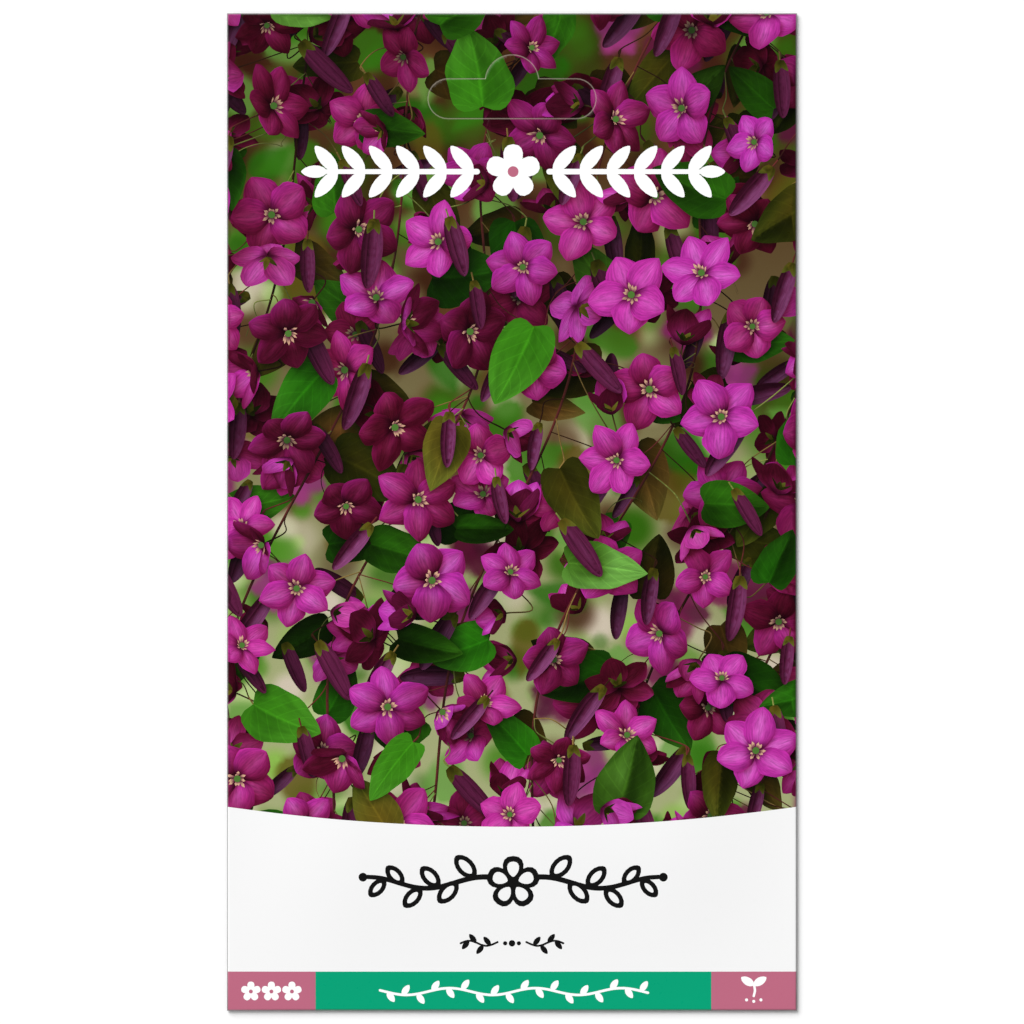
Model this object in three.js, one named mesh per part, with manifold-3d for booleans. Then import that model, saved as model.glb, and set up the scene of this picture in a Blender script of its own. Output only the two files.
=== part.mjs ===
// A printed paper seed packet, lying on its back: one cut, folded and glued sheet of coated paper with a
// pressed hang-slot cut at its head, and inside it a folded glassine bag that holds the seeds.
// Millimetres. X is across the packet, Y runs up it to the head, Z is up, and it lies on Z = 0.

import * as THREE from "three";
import { mergeVertices } from "three/addons/utils/BufferGeometryUtils.js";
import Module from "manifold-3d";

const wasm = await Module();
wasm.setup();

// Packet
const PACKET_WIDTH = 100;
const PACKET_HEIGHT = 175;
const PLY = 0.2; // one layer of paper
const PLY_GAP = 0.3; // between the front and the back where they lie together
const FOLD_THICKNESS = 3 * PLY + PLY_GAP; // front, wide back ply, and narrow back ply or end flap
const FOLD_WALL = 0.3; // height left flat at the outermost line of a rounded fold
const BELLY_RISE = 1.9; // how far the bag lifts the front

// The two back plies meet in a long glued seam, and the narrow one lies outside.
const SEAM_X = 26; // free edge of the narrow ply
const SEAM_LAP = 10; // the wide ply runs on under the narrow one by this much

// End flaps, folded from the front onto the back
const TOP_FLAP_LENGTH = 24;
const BOTTOM_FLAP_LENGTH = 14;
const FLAP_SIDE_INSET = 1.8; // at the fold
const FLAP_TAPER = 3.2; // further inset at the free edge
const FLAP_CORNER_RADIUS = 3;
const CORNER_GAP_WIDTH = 1.4; // beside the bottom flap the tube of the packet stays open

// Hang slot: the centre line of a cut that leaves its tab held by small nicks
const SLOT_WIDTH = 29.5;
const SLOT_BAR_HEIGHT = 7;
const SLOT_DOME_RADIUS = 4.7;
const SLOT_DOME_DROP = 0.5; // centre of the dome below the bar's top line
const SLOT_BOTTOM_FROM_HEAD = 18.5;
const SLOT_CUT_WIDTH = 0.3;
const NICK_WIDTH = 0.6;
const NICK_LENGTH = 2;

// Shape of the belly: flat over the bag and eased down to the folds and to the head
const BELLY_HALF_WIDTH = 26;
const BELLY_TOP = 26;
const BELLY_TOP_END = 62;
const BELLY_BOTTOM = -56;

// Glassine bag
const BAG_WIDTH = 60;
const BAG_HEIGHT = 88;
const BAG_CENTRE_Y = -16;
const BAG_CLEARANCE = 0.3; // to the paper under it
const BAG_EDGE_THICKNESS = 3 * PLY;
const BAG_BELLY_RISE = 1.0;
const BAG_GLUED_MARGIN = 4;
const BAG_FLAT_EDGE = 1;
const BAG_EASE = 16; // width of the slope from the bag's edge to its belly
const BAG_BELLY_TOP = 0; // the seeds lie below this height
const BAG_FLAP_LENGTH = 14;
const BAG_FLAP_TAPER = 6;
const BAG_FLAP_GAP = 0.2;
const BAG_MOUTH = 1.0; // the bag's front ends this far below its top fold

// Seeds: thin discs with a swollen kernel and a papery wing
const SEED_COUNT = 10;
const SEED_RADIUS = 1.9;
const SEED_THICKNESS = 0.7;
const SEED_WIDTH_SHARE = 0.82;
const SEED_CLEARANCE = 0.25; // to the glassine under it
const SEED_SPACING = 5;
const SEED_FIELD = { left: -17, right: 17, bottom: -47, top: -12 };
const SEED_START = 7;
// Half of a seed's section from its middle out, as shares of the radius and of the half thickness
const SEED_SECTION = [
  [0, 1],
  [0.35, 0.8],
  [0.58, 0.34],
  [1, 0.23],
];
const SEED_SIDES = 14;

// Grid lines of the curved slabs: the step between them, and their distances from a fold or an edge
const GRID_STEP = 5;
const FOLD_LINES = [0, 0.06, 0.2, FOLD_THICKNESS / 2];
const BAG_LINES = [0, BAG_FLAT_EDGE];
const HOLLOW_LINES = [0, 0.5];

// A cut runs this far past the surface that it goes through, and this far into the next cut.
const CUT_PAST = 1;
const CUT_JOIN = 0.1;

const paper = new THREE.MeshStandardMaterial({ color: 0xf2f1ee, roughness: 0.45, metalness: 0 });
const glassine = new THREE.MeshStandardMaterial({ color: 0xe6e2d3, roughness: 0.5, metalness: 0 });
const seedCoat = new THREE.MeshStandardMaterial({ color: 0x5a3d26, roughness: 0.8, metalness: 0 });

const halfWidth = PACKET_WIDTH / 2;
const halfHeight = PACKET_HEIGHT / 2;
const hollowLow = 2 * PLY;
const hollowHalfWidth = halfWidth - 2 * PLY;
const hollowHalfHeight = halfHeight - 2 * PLY;

// Joining and cutting

function toSolid(geometry) {
  const bare = geometry.index ? geometry.toNonIndexed() : geometry.clone();
  bare.deleteAttribute("normal");
  bare.deleteAttribute("uv");
  const merged = mergeVertices(bare, 1e-4);
  return new wasm.Manifold(
    new wasm.Mesh({
      numProp: 3,
      vertProperties: new Float32Array(merged.attributes.position.array),
      triVerts: new Uint32Array(merged.index.array),
    }),
  );
}

function toGeometry(solid) {
  const mesh = solid.getMesh();
  const geometry = new THREE.BufferGeometry();
  geometry.setAttribute("position", new THREE.BufferAttribute(mesh.vertProperties, 3));
  geometry.setIndex(new THREE.BufferAttribute(mesh.triVerts, 1));
  geometry.computeVertexNormals();
  return geometry;
}

function box(lowX, highX, lowY, highY, lowZ, highZ) {
  const geometry = new THREE.BoxGeometry(highX - lowX, highY - lowY, highZ - lowZ);
  geometry.translate((lowX + highX) / 2, (lowY + highY) / 2, (lowZ + highZ) / 2);
  return toSolid(geometry);
}

function plate(shape, lowZ, highZ) {
  const geometry = new THREE.ExtrudeGeometry(shape, {
    depth: highZ - lowZ,
    bevelEnabled: false,
    curveSegments: 10,
  });
  geometry.translate(0, 0, lowZ);
  return toSolid(geometry);
}

// A closed slab over a grid of xs and ys, between two height functions of x and y.
function slab(xs, ys, low, high) {
  const columns = xs.length;
  const rows = ys.length;
  const positions = [];
  for (const height of [high, low]) {
    for (const y of ys) {
      for (const x of xs) positions.push(x, y, height(x, y));
    }
  }
  const faces = [];
  const quad = (a, b, c, d) => faces.push(a, b, c, a, c, d);
  const top = (i, j) => j * columns + i;
  const bottom = (i, j) => rows * columns + top(i, j);
  for (let j = 0; j + 1 < rows; j += 1) {
    for (let i = 0; i + 1 < columns; i += 1) {
      quad(top(i, j), top(i + 1, j), top(i + 1, j + 1), top(i, j + 1));
      quad(bottom(i, j), bottom(i, j + 1), bottom(i + 1, j + 1), bottom(i + 1, j));
    }
  }
  const lastColumn = columns - 1;
  const lastRow = rows - 1;
  for (let i = 0; i < lastColumn; i += 1) {
    quad(bottom(i, 0), bottom(i + 1, 0), top(i + 1, 0), top(i, 0));
    quad(bottom(i + 1, lastRow), bottom(i, lastRow), top(i, lastRow), top(i + 1, lastRow));
  }
  for (let j = 0; j < lastRow; j += 1) {
    quad(bottom(0, j + 1), bottom(0, j), top(0, j), top(0, j + 1));
    quad(bottom(lastColumn, j), bottom(lastColumn, j + 1), top(lastColumn, j + 1), top(lastColumn, j));
  }
  const geometry = new THREE.BufferGeometry();
  geometry.setAttribute("position", new THREE.Float32BufferAttribute(positions, 3));
  geometry.setIndex(faces);
  return toSolid(geometry);
}

// Grid lines from -half to half, with extra ones near each end
function gridLines(half, centre, nearEnd) {
  const inner = half - nearEnd[nearEnd.length - 1];
  const steps = Math.round((2 * inner) / GRID_STEP);
  const lines = nearEnd.map((d) => -half + d);
  for (let i = 1; i < steps; i += 1) lines.push(-inner + (2 * inner * i) / steps);
  lines.push(...nearEnd.map((d) => half - d).reverse());
  return lines.map((v) => v + centre);
}

function easeIn(value, start, end) {
  const t = THREE.MathUtils.clamp((value - start) / (end - start), 0, 1);
  return t * t * (3 - 2 * t);
}

// Packet

function bellyShare(x, y) {
  const across = easeIn(Math.abs(x), halfWidth, BELLY_HALF_WIDTH);
  const along = Math.min(easeIn(y, BELLY_TOP_END, BELLY_TOP), easeIn(y, -halfHeight, BELLY_BOTTOM));
  return across * along;
}

// How far the surface falls back from its flat level at a distance from a fold's outermost line
function foldCut(distance) {
  const radius = FOLD_THICKNESS / 2;
  if (distance >= radius) return 0;
  const cut = radius - Math.sqrt(radius ** 2 - (radius - distance) ** 2);
  return Math.min(cut, radius - FOLD_WALL / 2);
}

function packetTop(x, y) {
  const fromEdge = Math.min(halfWidth - Math.abs(x), halfHeight - Math.abs(y));
  return FOLD_THICKNESS + BELLY_RISE * bellyShare(x, y) - foldCut(fromEdge);
}

function packetBottom(x, y) {
  return foldCut(Math.min(halfWidth - Math.abs(x), halfHeight - Math.abs(y)));
}

function flapShape(length, direction) {
  const foldY = direction * (halfHeight + CUT_PAST); // past the fold, so that the flap runs into it
  const freeY = direction * (halfHeight - length);
  const foldX = halfWidth - FLAP_SIDE_INSET;
  const freeX = foldX - FLAP_TAPER;
  const r = FLAP_CORNER_RADIUS;
  const shape = new THREE.Shape();
  shape.moveTo(-foldX, foldY);
  shape.lineTo(-freeX, freeY + direction * r);
  shape.quadraticCurveTo(-freeX, freeY, -freeX + r, freeY);
  shape.lineTo(freeX - r, freeY);
  shape.quadraticCurveTo(freeX, freeY, freeX, freeY + direction * r);
  shape.lineTo(foldX, foldY);
  shape.closePath();
  return shape;
}

// The hang slot's outline, moved out by grow: a round-ended bar with a dome on its top line
function slotOutline(grow) {
  const bottomY = halfHeight - SLOT_BOTTOM_FROM_HEAD;
  const middleY = bottomY + SLOT_BAR_HEIGHT / 2;
  const endX = SLOT_WIDTH / 2 - SLOT_BAR_HEIGHT / 2;
  const endRadius = SLOT_BAR_HEIGHT / 2 + grow;
  const domeRadius = SLOT_DOME_RADIUS + grow;
  const domeY = bottomY + SLOT_BAR_HEIGHT - SLOT_DOME_DROP;
  const footY = middleY + endRadius;
  const rise = footY - domeY;
  const footX = Math.sqrt(domeRadius ** 2 - rise ** 2);
  const footAngle = Math.atan2(rise, footX);
  const shape = new THREE.Shape();
  shape.moveTo(-endX, middleY - endRadius);
  shape.lineTo(endX, middleY - endRadius);
  shape.absarc(endX, middleY, endRadius, -Math.PI / 2, Math.PI / 2, false);
  shape.lineTo(footX, footY);
  shape.absarc(0, domeY, domeRadius, footAngle, Math.PI - footAngle, false);
  shape.lineTo(-endX, footY);
  shape.absarc(-endX, middleY, endRadius, Math.PI / 2, (3 * Math.PI) / 2, false);
  return shape;
}

function slotCut() {
  const below = -CUT_PAST;
  const above = FOLD_THICKNESS + CUT_PAST;
  const halfCut = SLOT_CUT_WIDTH / 2;
  const ring = plate(slotOutline(halfCut), below, above).subtract(
    plate(slotOutline(-halfCut), below, above),
  );
  const bottomY = halfHeight - SLOT_BOTTOM_FROM_HEAD;
  const middleY = bottomY + SLOT_BAR_HEIGHT / 2;
  const domeTopY = bottomY + SLOT_BAR_HEIGHT - SLOT_DOME_DROP + SLOT_DOME_RADIUS;
  const upright = (x, y) =>
    box(x - NICK_WIDTH / 2, x + NICK_WIDTH / 2, y - NICK_LENGTH / 2, y + NICK_LENGTH / 2, below, above);
  const level = (x, y) =>
    box(x - NICK_LENGTH / 2, x + NICK_LENGTH / 2, y - NICK_WIDTH / 2, y + NICK_WIDTH / 2, below, above);
  const nicks = [
    upright(0, domeTopY),
    upright(-SLOT_WIDTH / 5, bottomY),
    upright(SLOT_WIDTH / 5, bottomY),
    level(-SLOT_WIDTH / 2, middleY),
    level(SLOT_WIDTH / 2, middleY),
  ];
  return nicks.reduce((cut, nick) => cut.subtract(nick), ring);
}

// What is missing from the back where the wide ply lies one layer above the narrow one and the flaps
function backRecess() {
  const area = box(
    -halfWidth - CUT_PAST,
    SEAM_X,
    -halfHeight - CUT_PAST,
    halfHeight + CUT_PAST,
    -CUT_PAST,
    PLY,
  );
  return area
    .subtract(plate(flapShape(TOP_FLAP_LENGTH, 1), -2 * CUT_PAST, 2 * PLY))
    .subtract(plate(flapShape(BOTTOM_FLAP_LENGTH, -1), -2 * CUT_PAST, 2 * PLY));
}

// The hollow of the tube, and beside the seam the part of it under the wide ply's free edge
function packetHollow() {
  const tube = slab(
    gridLines(hollowHalfWidth, 0, HOLLOW_LINES),
    gridLines(hollowHalfHeight, 0, HOLLOW_LINES),
    () => hollowLow,
    (x, y) => FOLD_THICKNESS + BELLY_RISE * bellyShare(x, y) - PLY,
  );
  const besideSeam = box(
    SEAM_X + SEAM_LAP,
    hollowHalfWidth,
    -halfHeight + BOTTOM_FLAP_LENGTH,
    halfHeight - TOP_FLAP_LENGTH,
    PLY,
    hollowLow + CUT_JOIN,
  );
  return tube.add(besideSeam);
}

// The way out of the hollow at a bottom corner, where the flap doesn't reach
function cornerGap(side) {
  const outer = side * (hollowHalfWidth - CUT_JOIN);
  const inner = outer - side * CORNER_GAP_WIDTH;
  return box(
    Math.min(outer, inner),
    Math.max(outer, inner),
    -halfHeight - CUT_PAST,
    -hollowHalfHeight + CUT_JOIN,
    hollowLow,
    hollowLow + PLY_GAP,
  );
}

function makePacket() {
  const folded = slab(
    gridLines(halfWidth, 0, FOLD_LINES),
    gridLines(halfHeight, 0, FOLD_LINES),
    packetBottom,
    packetTop,
  );
  const cuts = [backRecess(), packetHollow(), cornerGap(-1), cornerGap(1), slotCut()];
  return cuts.reduce((solid, cut) => solid.subtract(cut), folded);
}

// Glassine bag

const bagLow = hollowLow + BAG_CLEARANCE;
const bagTopY = BAG_CENTRE_Y + BAG_HEIGHT / 2;
const bagBottomY = BAG_CENTRE_Y - BAG_HEIGHT / 2;

function bagTop(x, y) {
  const across = easeIn(Math.abs(x), BAG_WIDTH / 2 - BAG_FLAT_EDGE, BAG_WIDTH / 2 - BAG_EASE);
  const along = Math.min(
    easeIn(y, BAG_BELLY_TOP + BAG_EASE, BAG_BELLY_TOP),
    easeIn(y, bagBottomY + BAG_FLAT_EDGE, bagBottomY + BAG_EASE),
  );
  return bagLow + BAG_EDGE_THICKNESS + BAG_BELLY_RISE * across * along;
}

function makeBag() {
  const folded = slab(
    gridLines(BAG_WIDTH / 2, 0, BAG_LINES),
    gridLines(BAG_HEIGHT / 2, BAG_CENTRE_Y, BAG_LINES),
    () => bagLow,
    bagTop,
  );
  const frontTop = bagLow + BAG_EDGE_THICKNESS;
  const flapLow = frontTop + BAG_FLAP_GAP;
  const flapHigh = flapLow + PLY;

  // The back runs on over the top fold and comes down in front as a tapered flap.
  const flap = new THREE.Shape([
    new THREE.Vector2(-BAG_WIDTH / 2, bagTopY),
    new THREE.Vector2(-BAG_WIDTH / 2 + BAG_FLAP_TAPER, bagTopY - BAG_FLAP_LENGTH),
    new THREE.Vector2(BAG_WIDTH / 2 - BAG_FLAP_TAPER, bagTopY - BAG_FLAP_LENGTH),
    new THREE.Vector2(BAG_WIDTH / 2, bagTopY),
  ]);
  const topFold = box(-BAG_WIDTH / 2, BAG_WIDTH / 2, bagTopY - PLY, bagTopY, bagLow, flapHigh);

  // Its sides and foot are glued together along a margin.
  const halfInside = BAG_WIDTH / 2 - BAG_GLUED_MARGIN;
  const insideBottomY = bagBottomY + BAG_GLUED_MARGIN;
  const insideTopY = bagTopY - PLY;
  const inside = slab(
    gridLines(halfInside, 0, HOLLOW_LINES),
    gridLines((insideTopY - insideBottomY) / 2, (insideTopY + insideBottomY) / 2, HOLLOW_LINES),
    () => bagLow + PLY,
    (x, y) => bagTop(x, y) - PLY,
  );
  const mouth = box(-halfInside, halfInside, insideTopY - BAG_MOUTH, insideTopY, bagLow + PLY, flapLow);
  return folded.add(plate(flap, flapLow, flapHigh)).add(topFold).subtract(inside).subtract(mouth);
}

// Seeds

function seedGeometry() {
  const upper = SEED_SECTION.map(
    ([out, up]) => new THREE.Vector2(SEED_RADIUS * out, (SEED_THICKNESS / 2) * up),
  );
  const lower = upper.map((point) => new THREE.Vector2(point.x, -point.y));
  const geometry = new THREE.LatheGeometry([...lower, ...upper.reverse()], SEED_SIDES);
  geometry.rotateX(Math.PI / 2);
  geometry.scale(1, SEED_WIDTH_SHARE, 1);
  return toGeometry(toSolid(geometry));
}

// A small seeded generator, so that the seeds lie the same way each time
function randomFrom(start) {
  let state = start;
  return () => {
    state = (state * 16807) % 2147483647;
    return state / 2147483647;
  };
}

function seedPlaces() {
  const random = randomFrom(SEED_START);
  const places = [];
  while (places.length < SEED_COUNT) {
    const x = THREE.MathUtils.lerp(SEED_FIELD.left, SEED_FIELD.right, random());
    const y = THREE.MathUtils.lerp(SEED_FIELD.bottom, SEED_FIELD.top, random());
    const turn = random() * Math.PI;
    if (places.every((p) => Math.hypot(p.x - x, p.y - y) > SEED_SPACING)) places.push({ x, y, turn });
  }
  return places;
}

const seedPacket = new THREE.Group();

function addMesh(name, geometry, material) {
  const mesh = new THREE.Mesh(geometry, material);
  mesh.name = name;
  seedPacket.add(mesh);
  return mesh;
}

addMesh("packet_sheet", toGeometry(makePacket()), paper);
addMesh("glassine_bag", toGeometry(makeBag()), glassine);

const seedShape = seedGeometry();
const seedZ = bagLow + PLY + SEED_CLEARANCE + SEED_THICKNESS / 2;
seedPlaces().forEach(({ x, y, turn }, index) => {
  const seed = addMesh(`seed_${String(index + 1).padStart(2, "0")}`, seedShape, seedCoat);
  seed.position.set(x, y, seedZ);
  seed.rotation.z = turn;
});

export default seedPacket;
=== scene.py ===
# A printed paper seed packet, lying on its back on a pale floor and seen from straight above.
# It is a folded and glued sheet with a pressed hang slot. Its print is cut into the sheet's own
# triangles as flat shapes, each painted at its corners: a garden picture of a climbing plant in
# flower, a pale label with brushed ornaments, and a coloured strip.
# Drawings are in millimetres, X across and Y up to the head as the side is seen.

import math
import random
from dataclasses import dataclass
from functools import partial

import bpy
import numpy as np
from mathutils.geometry import delaunay_2d_cdt
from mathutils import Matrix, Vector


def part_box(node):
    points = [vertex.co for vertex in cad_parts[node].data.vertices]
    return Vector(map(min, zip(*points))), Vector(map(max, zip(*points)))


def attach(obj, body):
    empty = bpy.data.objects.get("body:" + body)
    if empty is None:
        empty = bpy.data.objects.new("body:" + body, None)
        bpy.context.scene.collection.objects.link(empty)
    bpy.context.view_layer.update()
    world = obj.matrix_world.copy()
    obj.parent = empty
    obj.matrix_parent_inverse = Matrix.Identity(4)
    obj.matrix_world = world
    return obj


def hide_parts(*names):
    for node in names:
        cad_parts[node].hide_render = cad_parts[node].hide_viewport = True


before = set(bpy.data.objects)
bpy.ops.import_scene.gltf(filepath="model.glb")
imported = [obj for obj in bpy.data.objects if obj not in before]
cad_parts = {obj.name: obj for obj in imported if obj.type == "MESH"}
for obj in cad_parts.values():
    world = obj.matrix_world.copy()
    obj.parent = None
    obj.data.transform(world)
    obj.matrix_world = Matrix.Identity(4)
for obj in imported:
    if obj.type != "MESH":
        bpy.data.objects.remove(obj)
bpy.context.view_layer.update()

MM = 0.001
TURN = 2 * math.pi

# The packet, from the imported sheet's own box
sheet_low, sheet_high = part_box("packet_sheet")
WIDTH = (sheet_high[0] - sheet_low[0]) / MM
HEIGHT = (sheet_high[1] - sheet_low[1]) / MM
HALF_W = WIDTH / 2
HALF_H = HEIGHT / 2
PLY = 0.2
FOLD_THICKNESS = 0.9
FOLD_WALL = 0.3
BELLY_RISE = (sheet_high[2] - sheet_low[2]) / MM - FOLD_THICKNESS
BELLY_HALF_WIDTH = 26
BELLY_TOP = 26
BELLY_TOP_END = 62
BELLY_BOTTOM = -56

# The two halves of the sheet meet half way up the folds. Between these distances from the edge their
# insides leave that height.
FOLD_RADIUS = FOLD_THICKNESS / 2
INSIDE_SLOPE = (0.2, 0.5)

# The free edge of the back's narrow ply, the end flaps, and the width of the step down from them
SEAM_X = 26
TOP_FLAP_LENGTH = 24
BOTTOM_FLAP_LENGTH = 14
FLAP_SIDE_INSET = 1.8
FLAP_TAPER = 3.2
FLAP_CORNER_RADIUS = 3
STEP_RAMP = 0.03

SLOT_WIDTH = 29.5
SLOT_BAR_HEIGHT = 7
SLOT_DOME_RADIUS = 4.7
SLOT_DOME_DROP = 0.5
SLOT_BOTTOM = HALF_H - 18.5
SLOT_LINE_HALF_WIDTH = 0.14
SLOT_LINE_DEPTH = 0.1

# Where the front's print changes: the label's arched top edge, and the strip at the foot
LABEL_EDGE_Y = -51.7
LABEL_MIDDLE_Y = -55.1
STRIP_TOP_Y = -80.6
STRIP_MIDDLE_Y = -84.1
STRIP_LEFT_X = -34.45
STRIP_RIGHT_X = 34.95
STRIP_GARLAND_HALF = 23.5

# Flat shapes that reach an edge of the packet run on past it, to here
PAST_X = HALF_W + 2
PAST_Y = HALF_H + 2

# How far in from the edge the folds carry a painted grey line of shade, wholly and at all
EDGE_SHADE_FULL = 0.12
EDGE_SHADE_END = 0.25


def rgb(*levels):
    """A print colour, from 0 to 1 on the screen's own scale."""
    return np.array(levels, float) / 255


LABEL = rgb(245, 245, 245)
STRIP_PINK = rgb(189, 106, 130)
STRIP_GREEN = rgb(8, 162, 119)
BLACK = rgb(20, 20, 20)
WHITE = rgb(255, 255, 255)
RULE_GREY = rgb(196, 198, 198)
CELL_GREY = rgb(226, 228, 226)
# A painted grey line of shade along the folded edges
EDGE_SHADE_GREY = rgb(136, 136, 136)
SLOT_PALE = rgb(238, 224, 204)

PETAL_MID = rgb(182, 54, 151)
PETAL_BAR = rgb(206, 112, 188)
PETAL_EDGE = rgb(156, 32, 128)
PETAL_THROAT = rgb(70, 8, 44)
PETAL_BACK = rgb(160, 60, 138)
PLUM_DARK = rgb(44, 8, 24)
PLUM = rgb(86, 28, 60)
PLUM_GLEAM = rgb(132, 72, 118)
STAMEN_TIP = rgb(198, 156, 128)
LEAF_PALE = rgb(96, 148, 62)
LEAF_MID = rgb(48, 112, 16)
LEAF_DEEP = rgb(30, 92, 8)
LEAF_OLIVE = rgb(86, 72, 18)
LEAF_BROWN = rgb(108, 62, 34)
STEM_TAN = rgb(150, 122, 66)
STEM_RED = rgb(112, 50, 46)
STEM_DARK = rgb(58, 32, 20)
STEM_GREEN = rgb(142, 152, 74)

# The garden behind the flowers, pale where it shows in gaps and low down, and dark elsewhere
GROUND_PALE = rgb(160, 166, 118)
GROUND_DARK = rgb(64, 36, 16)
PALE_PATCHES = (
    rgb(206, 192, 174), rgb(176, 198, 130), rgb(134, 180, 74), rgb(198, 194, 162),
    rgb(132, 160, 84), rgb(66, 128, 24), rgb(40, 92, 12),
)
DARK_PATCHES = (
    rgb(42, 92, 8), rgb(58, 30, 14), rgb(56, 112, 18), rgb(52, 20, 12), rgb(92, 58, 32), rgb(72, 44, 24),
)
FAR_BLOOMS = (rgb(92, 20, 58), rgb(118, 28, 86), rgb(70, 12, 38), rgb(140, 48, 112))


def ease(value, start, end):
    share = np.clip((value - start) / (end - start), 0, 1)
    return share * share * (3 - 2 * share)


def mix(first, second, share):
    share = np.clip(np.asarray(share, float), 0, 1)[..., None]
    return first * (1 - share) + second * share


def unit(vector):
    vector = np.asarray(vector, float)
    return vector / np.linalg.norm(vector)


def heading(turn):
    return np.array([math.cos(turn), math.sin(turn)])


def rotation(turn):
    return np.column_stack([heading(turn), (-math.sin(turn), math.cos(turn))])


def left_of(directions):
    return np.stack([-directions[:, 1], directions[:, 0]], 1)


def cross_2d(first, second):
    return first[0] * second[1] - first[1] * second[0]


def with_next(line):
    """The points of a closed line, and beside each the one after it."""
    return line, np.roll(line, -1, 0)


def distance(points, place):
    return np.hypot(*(points - place).T)


# Shapes that a drawing is made of

# How fast red, green and blue fall as a shape gets darker
PLAIN_TINT = (1, 1, 1)
PETAL_TINT = (0.78, 1.64, 1.36)
LEAF_TINT = (1.05, 0.88, 1.9)

# Which fine marks the material adds: none, a petal's streaks, or a leaf's veins
PLAIN, PETAL, LEAF = 0, 1, 2

# The picture's own light, across, up and out of the print, and how bright it makes a surface: anywhere,
# where the surface faces it, and where it comes through from behind
PICTURE_LIGHT = unit((-0.5, 0.6, 0.62))
LIT_ANYWHERE = 0.26
LIT_FACING = 0.97
LIT_THROUGH = 0.25

# The least shares of a blade's length and width that are seen, however it is turned
LEAST_REACH = 0.3
LEAST_TURN = 0.36


class Shape:
    """Has an outline, and paints points with a colour, a shade and a grain for the material's marks.

    casts is the strength and the blur of its shadow. Shadows pass by what is far behind.
    """

    casts = None
    tint = PLAIN_TINT
    far = False


class Flat(Shape):
    """A shape of one colour, or far behind with a function that gives the colour of each place."""

    def __init__(self, outline, colour):
        self.points = np.array(outline, float)
        self.colour = colour
        self.far = callable(colour)

    def outline(self):
        return self.points

    def paint(self, points):
        colour = self.colour(points) if self.far else self.colour
        return colour, 1, 0


@dataclass
class Blade(Shape):
    """A petal, leaf, bud or dot: a pointed oval along a midrib that may bend to one side.

    ahead and across are unit directions in space, to the tip and to one side, with the third
    number out of the print. u runs from 0 at its base to 1 at its tip, and v from -1 to 1 across.
    taper says how its width grows from the base and shrinks to the tip, and lobe how far the base
    reaches back on both sides of its foot.
    """

    base: np.ndarray
    ahead: np.ndarray
    across: np.ndarray
    length: float
    width: float
    painter: object
    taper: tuple = (0.7, 0.6)
    bend: float = 0
    ruffle: float = 0
    lobe: float = 0
    phase: float = 0
    stations: int = 9
    kind: int = PLAIN
    casts: tuple = None
    tint: tuple = PLAIN_TINT
    shade: float = 1

    def __post_init__(self):
        self.base = np.array(self.base, float)
        self.ahead = np.array(self.ahead, float)
        self.across = np.array(self.across, float)
        normal = np.cross(self.ahead, self.across)
        self.side = 1 if normal[2] >= 0 else -1
        self.normal = normal * self.side
        self.matrix = self.seen_flat()
        self.inverse = np.linalg.inv(self.matrix)

    def seen_flat(self):
        """The two directions as the eye sees them, opened a little where they are seen end on."""
        ahead = self.ahead[:2].copy()
        across = self.across[:2].copy()
        reach = np.hypot(*ahead)
        if reach < LEAST_REACH:
            ahead = (ahead + 1e-6) / (reach + 1e-6) * LEAST_REACH
            reach = LEAST_REACH
        turn = cross_2d(ahead, across)
        missing = LEAST_TURN * reach - abs(turn)
        if missing > 0:
            sign = -1 if turn < 0 else 1
            across += sign * missing / reach**2 * np.array([-ahead[1], ahead[0]])
        return np.column_stack([ahead, across])

    def half_width(self, u):
        a, b = self.taper
        peak = (a / (a + b)) ** a * (b / (a + b)) ** b
        u = np.clip(u, 0, 1)
        return self.width / 2 * u**a * (1 - u) ** b / peak

    def outline(self):
        u = (1 - np.cos(np.pi * np.arange(self.stations + 1) / self.stations)) / 2
        middle = self.bend * self.length * u * u
        wave = self.ruffle * np.sin(TURN * (2.3 * u + self.phase))
        half = self.half_width(u)
        along = u * self.length - self.lobe * self.length * (2 * half / self.width) * (1 - u) ** 5
        left = np.stack([along, middle + half * (1 + wave)], 1)
        right = np.stack([along, middle - half * (1 - wave)], 1)
        loop = np.concatenate([right, left[-2:0:-1]])
        if np.linalg.det(self.matrix) < 0:
            loop = loop[::-1]
        return self.base + loop @ self.matrix.T

    def places(self, points):
        local = (points - self.base) @ self.inverse.T
        u = local[:, 0] / self.length
        return u, local[:, 1] - self.bend * self.length * u * np.abs(u)

    def lit(self, lean, roll):
        """Brightness where the surface leans towards the tip and rolls to the side by these amounts."""
        normal = self.normal + self.side * (lean[:, None] * self.ahead + roll[:, None] * self.across)
        facing = normal @ PICTURE_LIGHT / np.linalg.norm(normal, axis=1)
        through = LIT_THROUGH * np.maximum(-facing, 0)
        return self.shade * (LIT_ANYWHERE + LIT_FACING * np.maximum(facing, 0) + through)

    def paint(self, points):
        u, aside = self.places(points)
        v = np.clip(aside / np.maximum(self.half_width(u), 0.05), -1, 1)
        u = np.clip(u, 0, 1)
        grain = np.stack([u + 10 * self.phase, v, np.full(len(u), self.kind)], 1)
        return *self.painter(self, u, v), grain

    def cover(self, points, blur):
        """1 well inside the blade and 0 well outside it."""
        u, aside = self.places(points)
        over = np.abs(aside) - self.half_width(np.clip(u, 0.02, 0.98))
        past = np.maximum(np.maximum(-u, u - 1), 0) * self.length
        gap = np.where(past > 0, np.hypot(np.maximum(over, 0), past), over)
        return ease(gap, blur, -blur)


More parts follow.
